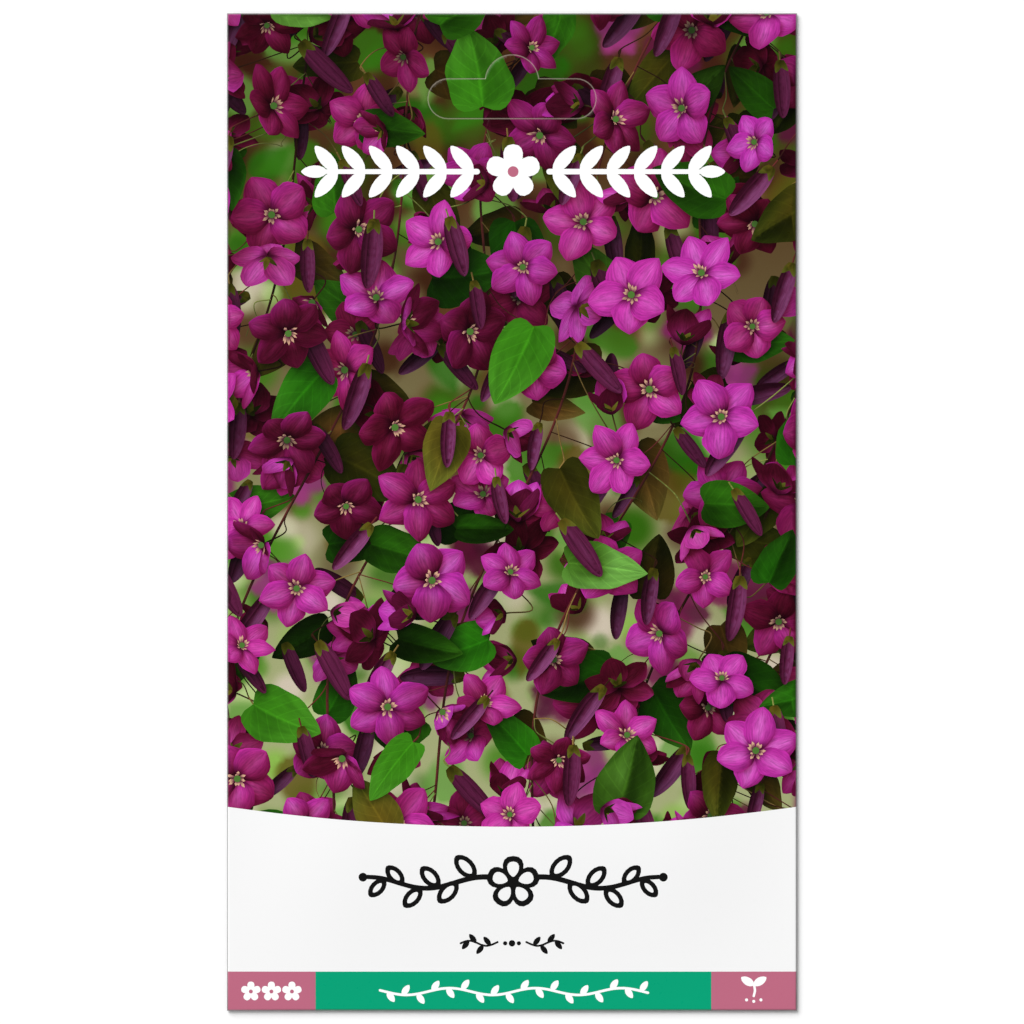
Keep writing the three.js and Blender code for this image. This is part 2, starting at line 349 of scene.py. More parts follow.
class Stroke(Shape):
    """A stem, tendril or brush line along a smooth path, with a width at each end."""

    def __init__(self, path, widths, painter, steps, caps=False, shade=1):
        self.line = smooth_path(path, steps)
        share = np.linspace(0, 1, len(self.line))[:, None]
        self.half = (widths[0] * (1 - share) + widths[1] * share) / 2
        self.painter = painter
        self.caps = caps
        self.shade = shade

    def outline(self):
        ahead = np.gradient(self.line, axis=0)
        ahead /= np.linalg.norm(ahead, axis=1, keepdims=True)
        side = left_of(ahead) * self.half
        left = self.line + side
        right = self.line - side
        if not self.caps:
            return np.concatenate([right, left[::-1]])
        arc = np.linspace(-math.pi / 2, math.pi / 2, 6)[1:-1]
        end = [self.line[-1] + self.half[-1] * (rotation(a) @ ahead[-1]) for a in arc]
        start = [self.line[0] + self.half[0] * (rotation(a + math.pi) @ ahead[0]) for a in arc]
        return np.concatenate([right, end, left[::-1], start])

    def paint(self, points):
        """Shaded as a round stem: each point goes with the nearest straight piece of the line."""
        starts, steps = self.line[:-1], np.diff(self.line, axis=0)
        size = np.maximum((steps**2).sum(1), 1e-9)
        share = np.clip(((points[:, None] - starts) * steps).sum(2) / size, 0, 1)
        away = points[:, None] - (starts + share[..., None] * steps)
        nearest = (away**2).sum(2).argmin(1)
        away = away[np.arange(len(points)), nearest]
        ahead = steps[nearest] / np.sqrt(size[nearest])[:, None]
        v = np.clip(cross_2d(ahead.T, away.T) / self.half[nearest, 0], -1, 1)
        facing = v * (left_of(ahead) @ PICTURE_LIGHT[:2]) + np.sqrt(1 - 0.9 * v**2) * PICTURE_LIGHT[2]
        return *self.painter(self, None, facing), 0


def smooth_path(path, steps):
    """Points of a smooth curve through those of the path."""
    path = np.array(path, float)
    padded = np.concatenate([[2 * path[0] - path[1]], path, [2 * path[-1] - path[-2]]])
    share = (np.arange(steps) / steps)[:, None]
    parts = []
    for a, b, c, d in zip(padded, padded[1:], padded[2:], padded[3:]):
        linear = (c - a) * share
        square = (2 * a - 5 * b + 4 * c - d) * share**2
        cube = (3 * b - a - 3 * c + d) * share**3
        parts.append(0.5 * (2 * b + linear + square + cube))
    return np.concatenate([*parts, path[-1:]])


# Painters, which give a colour and a shade. A stroke has no u, and for v how far it faces the light.


def one_colour(colour):
    return lambda shape, u, v: (colour, 1)


def petal_painter(bar, warmth):
    """Deep at the edges and at the throat, with a paler bar along the middle."""

    def paint(blade, u, v):
        colour = mix(PETAL_MID, PETAL_EDGE, 0.15 + 0.6 * v**2)
        pale = bar * np.exp(-((v / 0.32) ** 2)) * ease(u, 0.12, 0.45) * ease(u, 1.05, 0.7)
        colour = mix(colour, PETAL_BAR, pale)
        if blade.side < 0:
            colour = mix(colour, PETAL_BACK, 0.45)
        colour = mix(colour, PETAL_THROAT, ease(u, 0.3, 0.03))
        colour = colour * (1 + warmth * np.array([0.5, 0, -1]))
        return colour, blade.lit(0.9 * (u - 0.35), 0.5 * v - 0.16 * np.tanh(7 * v))

    return paint


def bud_painter(blade, u, v):
    """A rounded dark form with a soft gleam on the side of the light."""
    normal = blade.normal * np.sqrt(1 - 0.94 * v**2)[:, None] + v[:, None] * blade.across * blade.side
    facing = normal @ PICTURE_LIGHT
    colour = mix(PLUM, PLUM_DARK, ease(facing, 0.55, -0.1))
    gleam = 0.75 * ease(facing, 0.62, 0.98) * ease(u, 0.02, 0.3)
    return mix(colour, PLUM_GLEAM, gleam), blade.shade


def leaf_painter(colour):
    def paint(blade, u, v):
        paler = mix(colour, LEAF_PALE, 0.22 * ease(u, 0.2, 1) + 0.1 * np.abs(v))
        return paler, blade.lit(0.5 * (u - 0.5), 0.35 * v - 0.4 * np.tanh(9 * v))

    return paint


def stem_painter(colour):
    return lambda stroke, u, facing: (colour, stroke.shade * (0.55 + 0.6 * np.maximum(facing, 0)))


def stamen_painter(blade, u, v):
    return mix(PLUM, STAMEN_TIP, ease(u, 0.5, 0.75)), blade.shade


# Plants

# The strength and the blur of the shadows of single shapes
PETAL_SHADOW = (0.36, 0.75)
LEAF_SHADOW = (0.32, 1.0)

# Where the soft shadow of a whole plant falls, and how strong it is
STAR_DROP, STAR_DIM = (1.0, -1.5), 0.38
BUD_DROP, BUD_DIM = (0.8, -1.2), 0.3
LEAF_DROP, LEAF_DIM = (0.9, -1.3), 0.3

# The parts of a star flower, as shares of its radius. A pair is the least and the most of a draw.
PETAL_COUNTS = (5, 5, 6)
PETAL_LENGTHS = (0.92, 1.08)
PETAL_WIDTHS = (0.74, 0.9)
SIX_PETALS_WIDTH = 0.86
STAMEN_COUNT = 10
STAMEN_LENGTHS = (0.26, 0.36)
STAMEN_WIDTH = 0.07
HEART_RADIUS = 0.08
HEART_LIFT = 0.1
SEPAL_COUNT = 4
SEPAL_LENGTH = 0.34
SEPAL_WIDTH = 0.5

# The parts of a bud, as shares of its length
BUD_WIDTHS = (0.27, 0.31)
BUD_SEPAL_LENGTH = 0.24
BUD_SEPAL_LEANS = (-0.45, 0.4)

# Leaves longer than this are broad ones with a lobed base, veins and a shadow
BROAD_FROM = 6
BROAD_LOBE = 0.2
LEAF_WIDTHS = (0.6, 0.78)


class Drawing:
    """Shapes in the order they are painted, the soft shadows of whole plants, and random draws."""

    def __init__(self, start):
        self.shapes = []
        self.dims = []
        self.random = random.Random(start)
        self.between = self.random.uniform
        self.choose = self.random.choice

    def flat(self, outline, colour):
        self.shapes.append(Flat(outline, colour))

    def blade(self, *places, **looks):
        self.shapes.append(Blade(*places, **looks))

    def stroke(self, *places, **looks):
        self.shapes.append(Stroke(*places, **looks))

    def dim(self, centre, radius, strength):
        """A soft shadow on all that is already painted."""
        self.dims.append((len(self.shapes), np.array(centre), radius, strength))

    def chance(self, share):
        return self.random.random() < share

    def place_in(self, field):
        left, right, bottom, top = field
        return np.array([self.between(left, right), self.between(bottom, top)])


def frame_of(axis):
    """Two directions square to an axis and to each other."""
    side = unit(np.cross(axis, (0, 1, 0) if abs(axis[2]) > 0.9 else (0, 0, 1)))
    return side, np.cross(axis, side)


def flat_frame(turn):
    return (math.cos(turn), math.sin(turn), 0), (-math.sin(turn), math.cos(turn), 0)


def around(axis, side, up, turn, lean):
    """The direction that leans away from the axis to one side, and the one across it."""
    out = math.cos(turn) * side + math.sin(turn) * up
    return math.sin(lean) * out + math.cos(lean) * axis, math.cos(turn) * up - math.sin(turn) * side


def hanging(art, first, last, droop, depth):
    """A drooping direction, its turn drawn between two and its tilt to the eye up to a depth."""
    turn = art.between(first, last)
    return unit((math.cos(turn), math.sin(turn) - droop, art.between(-depth, depth)))


def add_star(art, centre, radius, axis, opening, shade):
    """A flower of pointed petals round an axis in space, seen from in front, the side or behind."""
    between = art.between
    axis = unit(axis)
    side, up = frame_of(axis)
    count = art.choose(PETAL_COUNTS)
    first = between(0, TURN)
    painter = petal_painter(between(0.3, 0.75), between(-0.06, 0.04))
    width = radius * between(*PETAL_WIDTHS) * (1 if count == 5 else SIX_PETALS_WIDTH)
    from_behind = axis[2] < 0.05
    petals = []
    for k in range(count):
        turn = first + TURN * k / count + between(-0.1, 0.1)
        ahead, across = around(axis, side, up, turn, opening + between(-0.14, 0.14))
        over_heart = -0.1 < axis[2] <= 0.5 and ahead[2] > axis[2] * math.cos(opening) + 0.1
        petals.append((ahead[2] + 0.3 * (k % 2), ahead, across, over_heart and not from_behind))
    petals.sort(key=lambda petal: petal[0])
    art.dim(np.add(centre, STAR_DROP), radius * 1.25, STAR_DIM)
    for over in (False, True):
        for _, ahead, across, over_heart in petals:
            if over_heart == over:
                length = radius * between(*PETAL_LENGTHS)
                add_petal(art, centre, ahead, across, length, width, painter, shade)
        if not over and not from_behind:
            add_stamens(art, centre, radius, axis, side, up, shade)
    if axis[2] < 0.45:
        foot = centre + axis[:2] * radius * HEART_LIFT
        for k in range(SEPAL_COUNT):
            ahead, across = around(-axis, side, up, first + k * TURN / SEPAL_COUNT, 0.9)
            add_leaf(art, foot, -ahead, across, radius * SEPAL_LENGTH, LEAF_OLIVE, shade, SEPAL_WIDTH)


def add_petal(art, centre, ahead, across, length, width, painter, shade):
    between = art.between
    art.blade(
        centre, ahead, across, length, width, painter,
        taper=(between(0.7, 0.85), between(0.68, 0.92)), bend=between(-0.1, 0.1),
        ruffle=between(0.02, 0.08), phase=between(0, 1), stations=int(8 + length * 0.7),
        kind=PETAL, casts=PETAL_SHADOW, tint=PETAL_TINT, shade=shade,
    )


def add_stamens(art, centre, radius, axis, side, up, shade):
    between = art.between
    for k in range(STAMEN_COUNT):
        turn = TURN * k / STAMEN_COUNT + between(-0.2, 0.2)
        ahead, across = around(axis, side, up, turn, between(0.5, 0.95))
        art.blade(
            centre, ahead, across, radius * between(*STAMEN_LENGTHS), radius * STAMEN_WIDTH,
            stamen_painter, taper=(0.9, 0.3), stations=3, shade=shade,
        )
    heart = centre + axis[:2] * radius * HEART_LIFT
    add_dot(art, heart, radius * HEART_RADIUS, LEAF_PALE * 0.8 * min(shade, 1))


def add_bud(art, foot, ahead, length, shade):
    """A long dark bud with a green foot."""
    between = art.between
    side, up = frame_of(ahead)
    across = side if abs(cross_2d(ahead, side)) > abs(cross_2d(ahead, up)) else up
    art.dim(foot + ahead[:2] * length * 0.5 + BUD_DROP, length * 0.5, BUD_DIM)
    bend = between(-0.1, 0.1)
    seam = between(-0.25, 0.25)
    for width, share, aside in ((1.0, 1.0, 0.0), (0.46, 0.97, seam)):
        art.blade(
            foot + across[:2] * aside * length * 0.06, ahead, across,
            length * share, length * between(*BUD_WIDTHS) * width, bud_painter,
            taper=(0.42, 0.5), bend=bend, phase=between(0, 1), stations=int(8 + length * 0.6),
            kind=PETAL, casts=PETAL_SHADOW if share == 1 else None, shade=shade,
        )
    for lean in BUD_SEPAL_LEANS:
        tilted, aside = unit(ahead + lean * across), unit(across - lean * ahead)
        add_leaf(art, foot, tilted, aside, length * BUD_SEPAL_LENGTH, LEAF_OLIVE, shade, SEPAL_WIDTH)


def add_leaf(art, foot, ahead, across, length, colour, shade, width):
    between = art.between
    looks = {"stations": 4}
    if length > BROAD_FROM:
        looks = {"stations": int(10 + length * 0.5), "lobe": BROAD_LOBE, "kind": LEAF, "casts": LEAF_SHADOW}
        art.dim(foot + ahead[:2] * length * 0.5 + LEAF_DROP, length * 0.62, LEAF_DIM)
    art.blade(
        foot, ahead, across, length, length * width * between(0.94, 1.1), leaf_painter(colour),
        taper=(between(0.3, 0.42), between(0.75, 0.95)), bend=between(-0.14, 0.14),
        ruffle=between(0, 0.05), phase=between(0, 1), tint=LEAF_TINT, shade=shade, **looks,
    )


def add_free_leaf(art, foot, length, colour, shade):
    """A leaf that hangs any way round, its face more or less to the eye."""
    ahead = hanging(art, 0, TURN, 0.3, 0.35)
    side, up = frame_of(ahead)
    roll = art.between(-0.7, 0.7)
    across = math.cos(roll) * side + math.sin(roll) * up
    add_leaf(art, foot, ahead, across, length, colour, shade, art.between(*LEAF_WIDTHS))


def add_stalk(art, path, widths, colour, shade=1.0, steps=4):
    art.stroke(path, widths, stem_painter(colour), steps, shade=shade)


def spread(art, field, gap, tries, wanted=None):
    """Places strewn over a field at random, no two nearer than the gap."""
    places = []
    for _ in range(tries):
        place = art.place_in(field)
        if wanted and not art.chance(wanted(place)):
            continue
        if all(distance(place, other) > gap for other in places):
            places.append(place)
    return places


def add_dot(art, centre, radius, colour):
    art.blade(
        np.subtract(centre, (radius, 0)), *flat_frame(0), 2 * radius, 2 * radius, one_colour(colour),
        taper=(0.5, 0.5), stations=int(6 + 2.5 * radius),
    )


# The picture on the front

FIELD_X = HALF_W + 4
FIELD_BOTTOM = LABEL_MIDDLE_Y - 6
FIELD_TOP = HALF_H + 4
FIELD = (-FIELD_X, FIELD_X, FIELD_BOTTOM, FIELD_TOP)
BACKDROP_MARGIN = 2

# Where the garden behind shows between the flowers: the middle of each gap, and its radius
GAPS = (
    (-38, -30, 12), (35, -36, 11), (-8, -46, 9), (41, 4, 9),
    (-22, 2, 6), (14, 26, 6), (-44, 42, 7), (6, -20, 6),
)

# What is blurred far behind: patches and blooms by their radius, and leaves by length and width
PATCH_COUNT = 700
PALE_PATCH, DARK_PATCH = (1.8, 5.5), (3.5, 7)
PATCH_STRENGTH = (0.4, 0.95)
BLURRED_LEAF, BLURRED_LEAF_WIDTH, BLURRED_LEAF_STRENGTH = (8, 13), (5, 8), 0.75
BLURRED_BLOOM, BLURRED_BLOOM_STRENGTH = (4, 6), 0.85
BLURRED_REACH = 1.5

VINE_STARTS = range(-57, 58, 19)
VINE_LEAN = 0.3
STAR_FORMS = ("front", "side", "back")

# How the plants are strewn: the gap between two of a kind, and how many places are tried
BLURRED_PLANTS = (10, 700)
FAR_LEAVES = (11, 900)
FAR_STARS = (12.6, 1000)
FAR_BUDS = (13, 500)

# The same for the near ones by their form, with the least and the most of how near they stand
NEAR_KINDS = (
    ("front", 12.4, 1500, 0.35, 1.0),
    ("side", 15, 900, 0.1, 0.95),
    ("back", 24, 400, 0.1, 0.7),
    ("leaf", 15, 900, 0.1, 1.0),
    ("bud", 11.5, 1000, 0.3, 1.0),
    ("tendril", 20, 400, 0.0, 1.0),
)

# Their lengths or radii, and how far flowers open from their axis, seen from the side and else
FAR_LEAF, NEAR_LEAF = (9, 14), (10, 15.5)
FAR_STAR, NEAR_STAR = (5.4, 7.2), (6, 8.2)
FAR_BUD, NEAR_BUD = (8, 12), (8.5, 13)
FAR_SIDE_OPENING, FAR_OPENING = (0.4, 0.9), (1.1, 1.5)
NEAR_SIDE_OPENING, NEAR_OPENING = (0.45, 1), (1.15, 1.5)

# How dark the far ones are
FAR_LEAF_SHADE = (0.55, 0.85)
FAR_STAR_SHADE = (0.58, 0.86)
FAR_BUD_SHADE = (0.65, 0.85)

# How far from its place the stalk of a flower or of another near plant ends, and a tendril's curls
STAR_STALK = 5
OTHER_STALK = 1.5
TENDRIL_STEPS = 8
TENDRIL_TURN = 0.9
TENDRIL_REACH = 2.4

# The widths of stems and stalks at their two ends
VINE_ENDS = (0.5, 0.4)
STALK_ENDS = (0.18, 0.28)
TENDRIL_ENDS = (0.2, 0.12)
LEAF_STALK_ENDS = (0.26, 0.26)
BUD_STALK_ENDS = (0.28, 0.28)


def gap_share(points):
    """1 in the middle of a gap between the flowers and 0 far from any."""
    return np.max([np.exp(-((distance(points, gap[:2]) / gap[2]) ** 2)) for gap in GAPS], axis=0)


def filled(share):
    """How likely a place is to be planted, when the gaps are left out by this share."""
    return lambda place: 1 - share * gap_share(place)


def height_share(points):
    return (points[..., 1] - FIELD_BOTTOM) / (FIELD_TOP - FIELD_BOTTOM)


def daylight(place):
    """The planting is shaded at its top and open below."""
    return 1.17 - 0.27 * height_share(place)


def garden_painter(art, field):
    """The garden far behind, out of focus: soft patches, then blurred leaves and blooms."""
    between = art.between
    patches = []
    for _ in range(PATCH_COUNT):
        place = art.place_in(field)
        pale = art.chance(0.5 * gap_share(place) + 1 - 1.05 * height_share(place))
        radius = between(*(PALE_PATCH if pale else DARK_PATCH))
        colour = art.choose(PALE_PATCHES if pale else DARK_PATCHES)
        patches.append((place, radius, colour, between(*PATCH_STRENGTH)))
    blurred = []
    for place in spread(art, field, *BLURRED_PLANTS):
        turn = between(0, TURN)
        if art.chance(0.7):
            colour = art.choose((LEAF_DEEP, LEAF_MID, LEAF_MID, LEAF_OLIVE, LEAF_PALE))
            length, width = between(*BLURRED_LEAF), between(*BLURRED_LEAF_WIDTH)
            leaf = Blade(place, *flat_frame(turn), length, width, None, taper=(0.4, 0.85))
            blurred.append((leaf, colour, BLURRED_LEAF_STRENGTH))
            continue
        colour = art.choose(FAR_BLOOMS)
        radius = between(*BLURRED_BLOOM)
        for k in range(5):
            petal = Blade(place, *flat_frame(turn + TURN * k / 5), radius, radius * 0.75, None)
            blurred.append((petal, colour * between(0.8, 1.2), BLURRED_BLOOM_STRENGTH))

    def paint(points):
        dark = ease(height_share(points), 0.1, 1) * (1 - 0.8 * gap_share(points))
        colour = mix(GROUND_PALE, GROUND_DARK, dark)
        for place, radius, patch, strength in patches:
            colour = mix(colour, patch, strength * ease(distance(points, place), radius, radius * 0.3))
        for blade, patch, strength in blurred:
            line = blade.outline()
            near = (points > line.min(0) - BLURRED_REACH) & (points < line.max(0) + BLURRED_REACH)
            near = near.all(1)
            colour[near] = mix(colour[near], patch, strength * blade.cover(points[near], 1))
        return colour

    return paint


def add_backdrop(art, field):
    left, right, bottom, top = np.add(field, np.multiply(BACKDROP_MARGIN, (-1, 1, -1, 1)))
    art.flat(rectangle(left, right, bottom, top), garden_painter(art, field))


def vine_at(vine, y):
    """Where a climbing stem is across the picture at a height."""
    start, swing, length = vine
    return np.array([start + VINE_LEAN * y + swing * math.sin(y / length + start), y])


def star_axis(art, form):
    """Which way a flower faces: to the eye, to the side or away, as its form says."""
    turn = art.between(0, TURN)
    aside = np.array([math.cos(turn), math.sin(turn), 0])
    if form == "front":
        return unit((0, 0, 1) + aside * art.between(0, 0.9))
    if form == "side":
        return unit(aside + (0, 0.5, art.between(0, 0.45)))
    return unit(aside * 0.8 + (0, 0, -art.between(0.5, 1)))


def draw_far_plants(art):
    between = art.between
    planted = filled(0.95)
    for place in spread(art, FIELD, *FAR_LEAVES, planted):
        colour = art.choose((LEAF_DEEP, LEAF_MID, LEAF_OLIVE, LEAF_BROWN, LEAF_BROWN, LEAF_BROWN))
        if art.chance(0.75):
            length = between(*FAR_LEAF)
            add_free_leaf(art, place, length, colour, between(*FAR_LEAF_SHADE) * daylight(place))
    for place in spread(art, FIELD, *FAR_STARS, planted):
        form = art.choose(("front", "side", "side", "back"))
        opening = between(*(FAR_SIDE_OPENING if form == "side" else FAR_OPENING))
        shade = between(*FAR_STAR_SHADE) * daylight(place)
        add_star(art, place, between(*FAR_STAR), star_axis(art, form), opening, shade)
    for place in spread(art, FIELD, *FAR_BUDS, planted):
        ahead = hanging(art, 0, TURN, 0.8, 0.3)
        add_bud(art, place, ahead, between(*FAR_BUD), between(*FAR_BUD_SHADE) * daylight(place))


class Sprig:
    """A near flower, leaf, bud or tendril with the stalk that it grows on."""

    def __init__(self, art, form, nearness, place, vines):
        between = art.between
        self.form = form
        self.nearness = nearness
        self.place = place
        self.shade = (0.76 + 0.3 * nearness) * daylight(place)
        vine = min(vines, key=lambda v: abs(vine_at(v, place[1] + 7)[0] - place[0]))
        self.root = vine_at(vine, place[1] + between(4, 10))
        self.stem = art.choose((STEM_TAN, STEM_RED, STEM_DARK, STEM_GREEN))
        self.sway = (between(-1.5, 1.5), between(-1, 1.5))
        if form in STAR_FORMS:
            self.axis = star_axis(art, form)
            self.behind = place - self.axis[:2] * STAR_STALK
        else:
            self.axis = hanging(art, -math.pi, 0, 1.2 if form == "bud" else 0.4, 0.35)
            self.behind = place - self.axis[:2] * OTHER_STALK

    def draw_stalk(self, art):
        if self.form == "tendril":
            path = [self.root]
            for k in range(TENDRIL_STEPS):
                swing = rotation(TENDRIL_TURN * k + self.nearness * 6) @ (TENDRIL_REACH - 0.28 * k, 0)
                path.append(self.root + (self.place - self.root) * (k + 1) / TENDRIL_STEPS + swing)
            add_stalk(art, path, TENDRIL_ENDS, self.stem, self.shade, 5)
        else:
            path = [self.root, (self.root + self.behind) / 2 + self.sway, self.behind, self.place]
            add_stalk(art, path, STALK_ENDS, self.stem, self.shade, 7)

    def draw(self, art):
        between = art.between
        if self.form == "leaf":
            colour = art.choose((LEAF_MID, LEAF_PALE, LEAF_MID, LEAF_DEEP, LEAF_DEEP, LEAF_OLIVE))
            add_stalk(art, [self.behind, self.place], LEAF_STALK_ENDS, self.stem, self.shade)
            add_free_leaf(art, self.place, between(*NEAR_LEAF), colour, self.shade)
        elif self.form == "bud":
            add_stalk(art, [self.behind, self.place], BUD_STALK_ENDS, self.stem, self.shade)
            add_bud(art, self.place, self.axis, between(*NEAR_BUD), self.shade)
        elif self.form in STAR_FORMS:
            opening = between(*(NEAR_SIDE_OPENING if self.form == "side" else NEAR_OPENING))
            radius = between(*NEAR_STAR)
            add_star(art, self.place, radius, self.axis, opening, self.shade * between(0.92, 1.08))


def draw_garden(art):
    """The garden behind, far plants, climbing stems, and near plants with the nearest last."""
    between = art.between
    add_backdrop(art, FIELD)
    draw_far_plants(art)
    vines = [(start, between(3, 6), between(13, 20)) for start in VINE_STARTS]
    for vine in vines:
        path = [vine_at(vine, y) for y in np.arange(FIELD_BOTTOM - 4, FIELD_TOP + 12, 8)]
        add_stalk(art, path, VINE_ENDS, art.choose((STEM_DARK, STEM_RED)), 0.85)
    sprigs = []
    for form, gap, tries, least, most in NEAR_KINDS:
        planted = filled(0.92) if form in STAR_FORMS else None
        for place in spread(art, FIELD, gap, tries, planted):
            sprigs.append(Sprig(art, form, between(least, most), place, vines))
    sprigs.sort(key=lambda sprig: sprig.nearness)
    for sprig in sprigs:
        sprig.draw_stalk(art)
    for sprig in sprigs:
        sprig.draw(art)


# Ornaments

FIVE_TURNS = [TURN / 4 + TURN * k / 5 for k in range(5)]
MARK_PETAL_TAPER = (0.7, 0.42)
GARLAND_LEAVES = (0.25, 0.37, 0.49, 0.61, 0.73, 0.85)
GARLAND_LEAN = 0.82
GARLAND_PETAL = (4.7, 3.7)
LAUREL_LEAN = 0.86
LAUREL_PAIRS = 6
LAUREL_TIP = (4.6, 2.2)
SPRIG_LEAVES = ((0.42, 0.9), (0.56, -0.9), (0.7, 0.9), (0.84, -0.9))
SPRIG_LEAF = (1.9, 0.95)
STRIP_LEAVES = 18
STRIP_LEAF = (2.1, 1.15)
SPROUT_DROP = 2 / 7

# The ornaments by their centre and their half length, and then a half height or the width of a line
LAUREL = ((0.2, 59.7), 37.2, 4.8)
LABEL_GARLAND = ((0.2, -64.9), 26.3, 0.98)
LABEL_SPRIG = ((0, -75.6), 9, 0.36)
STRIP_GARLAND = ((0.35, STRIP_MIDDLE_Y), STRIP_GARLAND_HALF)

# The seedling and the flowers at the ends of the strip, by their centre and their size
STRIP_SPROUT = ((42.4, STRIP_MIDDLE_Y + 0.4), 4.2)
STRIP_FLOWERS = [((x, STRIP_MIDDLE_Y), 1.75) for x in (-45.8, -42.2, -38.6)]


def rectangle(left, right, bottom, top):
    return [(left, bottom), (right, bottom), (right, top), (left, top)]


def leaning(side, turn):
    """A turn up from level, on the right side or on the left."""
    return turn if side > 0 else math.pi - turn


def wave_at(centre, reach, height, waves, share):
    """A place on a line that waves out from a centre, at a share of its reach to one side."""
    return centre[0] + reach * share, centre[1] + height * math.sin(waves * math.pi * share)


def add_mark(art, base, turn, length, width, colour, taper=(0.6, 0.7)):
    """A plain leaf or petal."""
    art.blade(base, *flat_frame(turn), length, width, one_colour(colour), taper=taper, stations=8)


def add_ring(art, base, turn, length, width, line, taper=(0.6, 0.6)):
    """A leaf or petal on the label with a brushed outline."""
    add_mark(art, base, turn, length, width, BLACK, taper)
    inner = base + heading(turn) * (line * 1.25)
    add_mark(art, inner, turn, length - 2.5 * line, width - 2 * line, LABEL, taper)


def add_brush(art, path, widths, colour):
    art.stroke(path, widths, one_colour(colour), 7, caps=True)


def draw_garland(art, centre, half_length, line):
    """A brushed sprig: from a flower in the middle, a waving stem to each side with open leaves."""
    thin = line * 0.82
    for side in (-1, 1):
        wave = partial(wave_at, centre, side * half_length, 1, 2.6)
        add_brush(art, [wave(s) for s in np.linspace(0.1, 0.97, 12)], (line, line * 0.8), BLACK)
        for k, s in enumerate(GARLAND_LEAVES):
            size = 5.2 - 0.2 * k
            turn = leaning(side, -GARLAND_LEAN if k % 2 else GARLAND_LEAN)
            add_ring(art, wave(s), turn, size, size * 0.6, thin)
        add_dot(art, wave(1), line * 0.8, BLACK)
    for turn in FIVE_TURNS:
        add_ring(art, centre, turn, *GARLAND_PETAL, thin, MARK_PETAL_TAPER)
    add_dot(art, centre, line, BLACK)


def draw_small_sprig(art, centre, half_length, line):
    """Two short waves of a fine brush with leaves, and three dots between them."""
    for side in (-1, 1):
        wave = partial(wave_at, centre, side * half_length, 0.45, 3)
        add_brush(art, [wave(s) for s in np.linspace(0.28, 1, 8)], (line, line), BLACK)
        for s, turn in SPRIG_LEAVES:
            add_mark(art, wave(s), leaning(side, turn), *SPRIG_LEAF, BLACK)
    for k in (-1, 0, 1):
        add_dot(art, (centre[0] + k * 1.2, centre[1]), 0.38 if k else 0.58, BLACK)


def draw_laurel(art, centre, half_length, half_height):
    """A bold white ornament: solid leaves in pairs on a straight stem, and a flower in the middle."""
    draw_flower(art, centre, half_height)
    for side in (-1, 1):
        place = partial(wave_at, centre, side * half_length, 0, 0)
        add_brush(art, [place(s) for s in (0.17, 0.5, 0.9)], (1, 0.8), WHITE)
        for pair in range(LAUREL_PAIRS):
            for turn in (-LAUREL_LEAN, LAUREL_LEAN):
                foot = place(0.19 + 0.128 * pair)
                add_mark(art, foot, leaning(side, turn), half_height * 1.24, half_height * 0.5, WHITE)
        tip = (centre[0] + side * half_length - side * LAUREL_TIP[0], centre[1])
        add_mark(art, tip, leaning(side, 0), *LAUREL_TIP, WHITE)


def draw_strip_garland(art, centre, half_length):
    """A long fine white wave with leaves on both sides."""
    wave = partial(wave_at, centre, half_length, 0.6, half_length / (2.4 * math.pi))
    add_brush(art, [wave(s) for s in np.linspace(-1, 1, 35)], (0.45, 0.45), WHITE)
    for k in range(STRIP_LEAVES):
        foot = wave((2 * k + 1) / STRIP_LEAVES - 1)
        add_mark(art, foot, 0.95 if k % 2 else -0.95, *STRIP_LEAF, WHITE)


def draw_flower(art, centre, size):
    """A white flower on pink."""
    for turn in FIVE_TURNS:
        add_mark(art, centre, turn, size, size * 0.72, WHITE, MARK_PETAL_TAPER)
    add_dot(art, centre, size * 0.2, STRIP_PINK)


def draw_sprout(art, centre, size):
    """A white seedling with two leaves over three seeds."""
    x, y = np.subtract(centre, (0, size * SPROUT_DROP))
    path = [(x, y), (x + 0.05 * size, y + 0.25 * size), (x, y + 0.5 * size)]
    add_brush(art, path, (0.1 * size, 0.1 * size), WHITE)
    for side in (1, -1):
        add_mark(art, (x, y + 0.46 * size), leaning(side, 0.55), 0.62 * size, 0.34 * size, WHITE)
    for k in (-1, 0, 1):
        add_dot(art, (x + 0.3 * size * k, y - 0.16 * size - 0.06 * size * (k == 0)), 0.065 * size, WHITE)


def draw_sun(art, centre, size):
    for k in range(8):
        out = heading(TURN * k / 8)
        foot, tip = centre + out * (size * 0.62), centre + out * size
        add_brush(art, [foot, (foot + tip) / 2, tip], (0.12 * size, 0.12 * size), WHITE)
    add_dot(art, centre, size * 0.42, WHITE)


def draw_drop(art, centre, size):
    foot = np.add(centre, (0, -size * 0.9))
    add_mark(art, foot, TURN / 4, size * 1.9, size * 1.15, WHITE, (0.5, 1))


def label_arc(count=40):
    """The label's top edge, from right to left: an arc that dips in the middle."""
    dip = LABEL_EDGE_Y - LABEL_MIDDLE_Y
    radius = (HALF_W**2 + dip**2) / (2 * dip)
    xs = np.linspace(HALF_W, -HALF_W, count)
    return [(x, LABEL_MIDDLE_Y + radius - math.sqrt(radius**2 - x**2)) for x in xs]


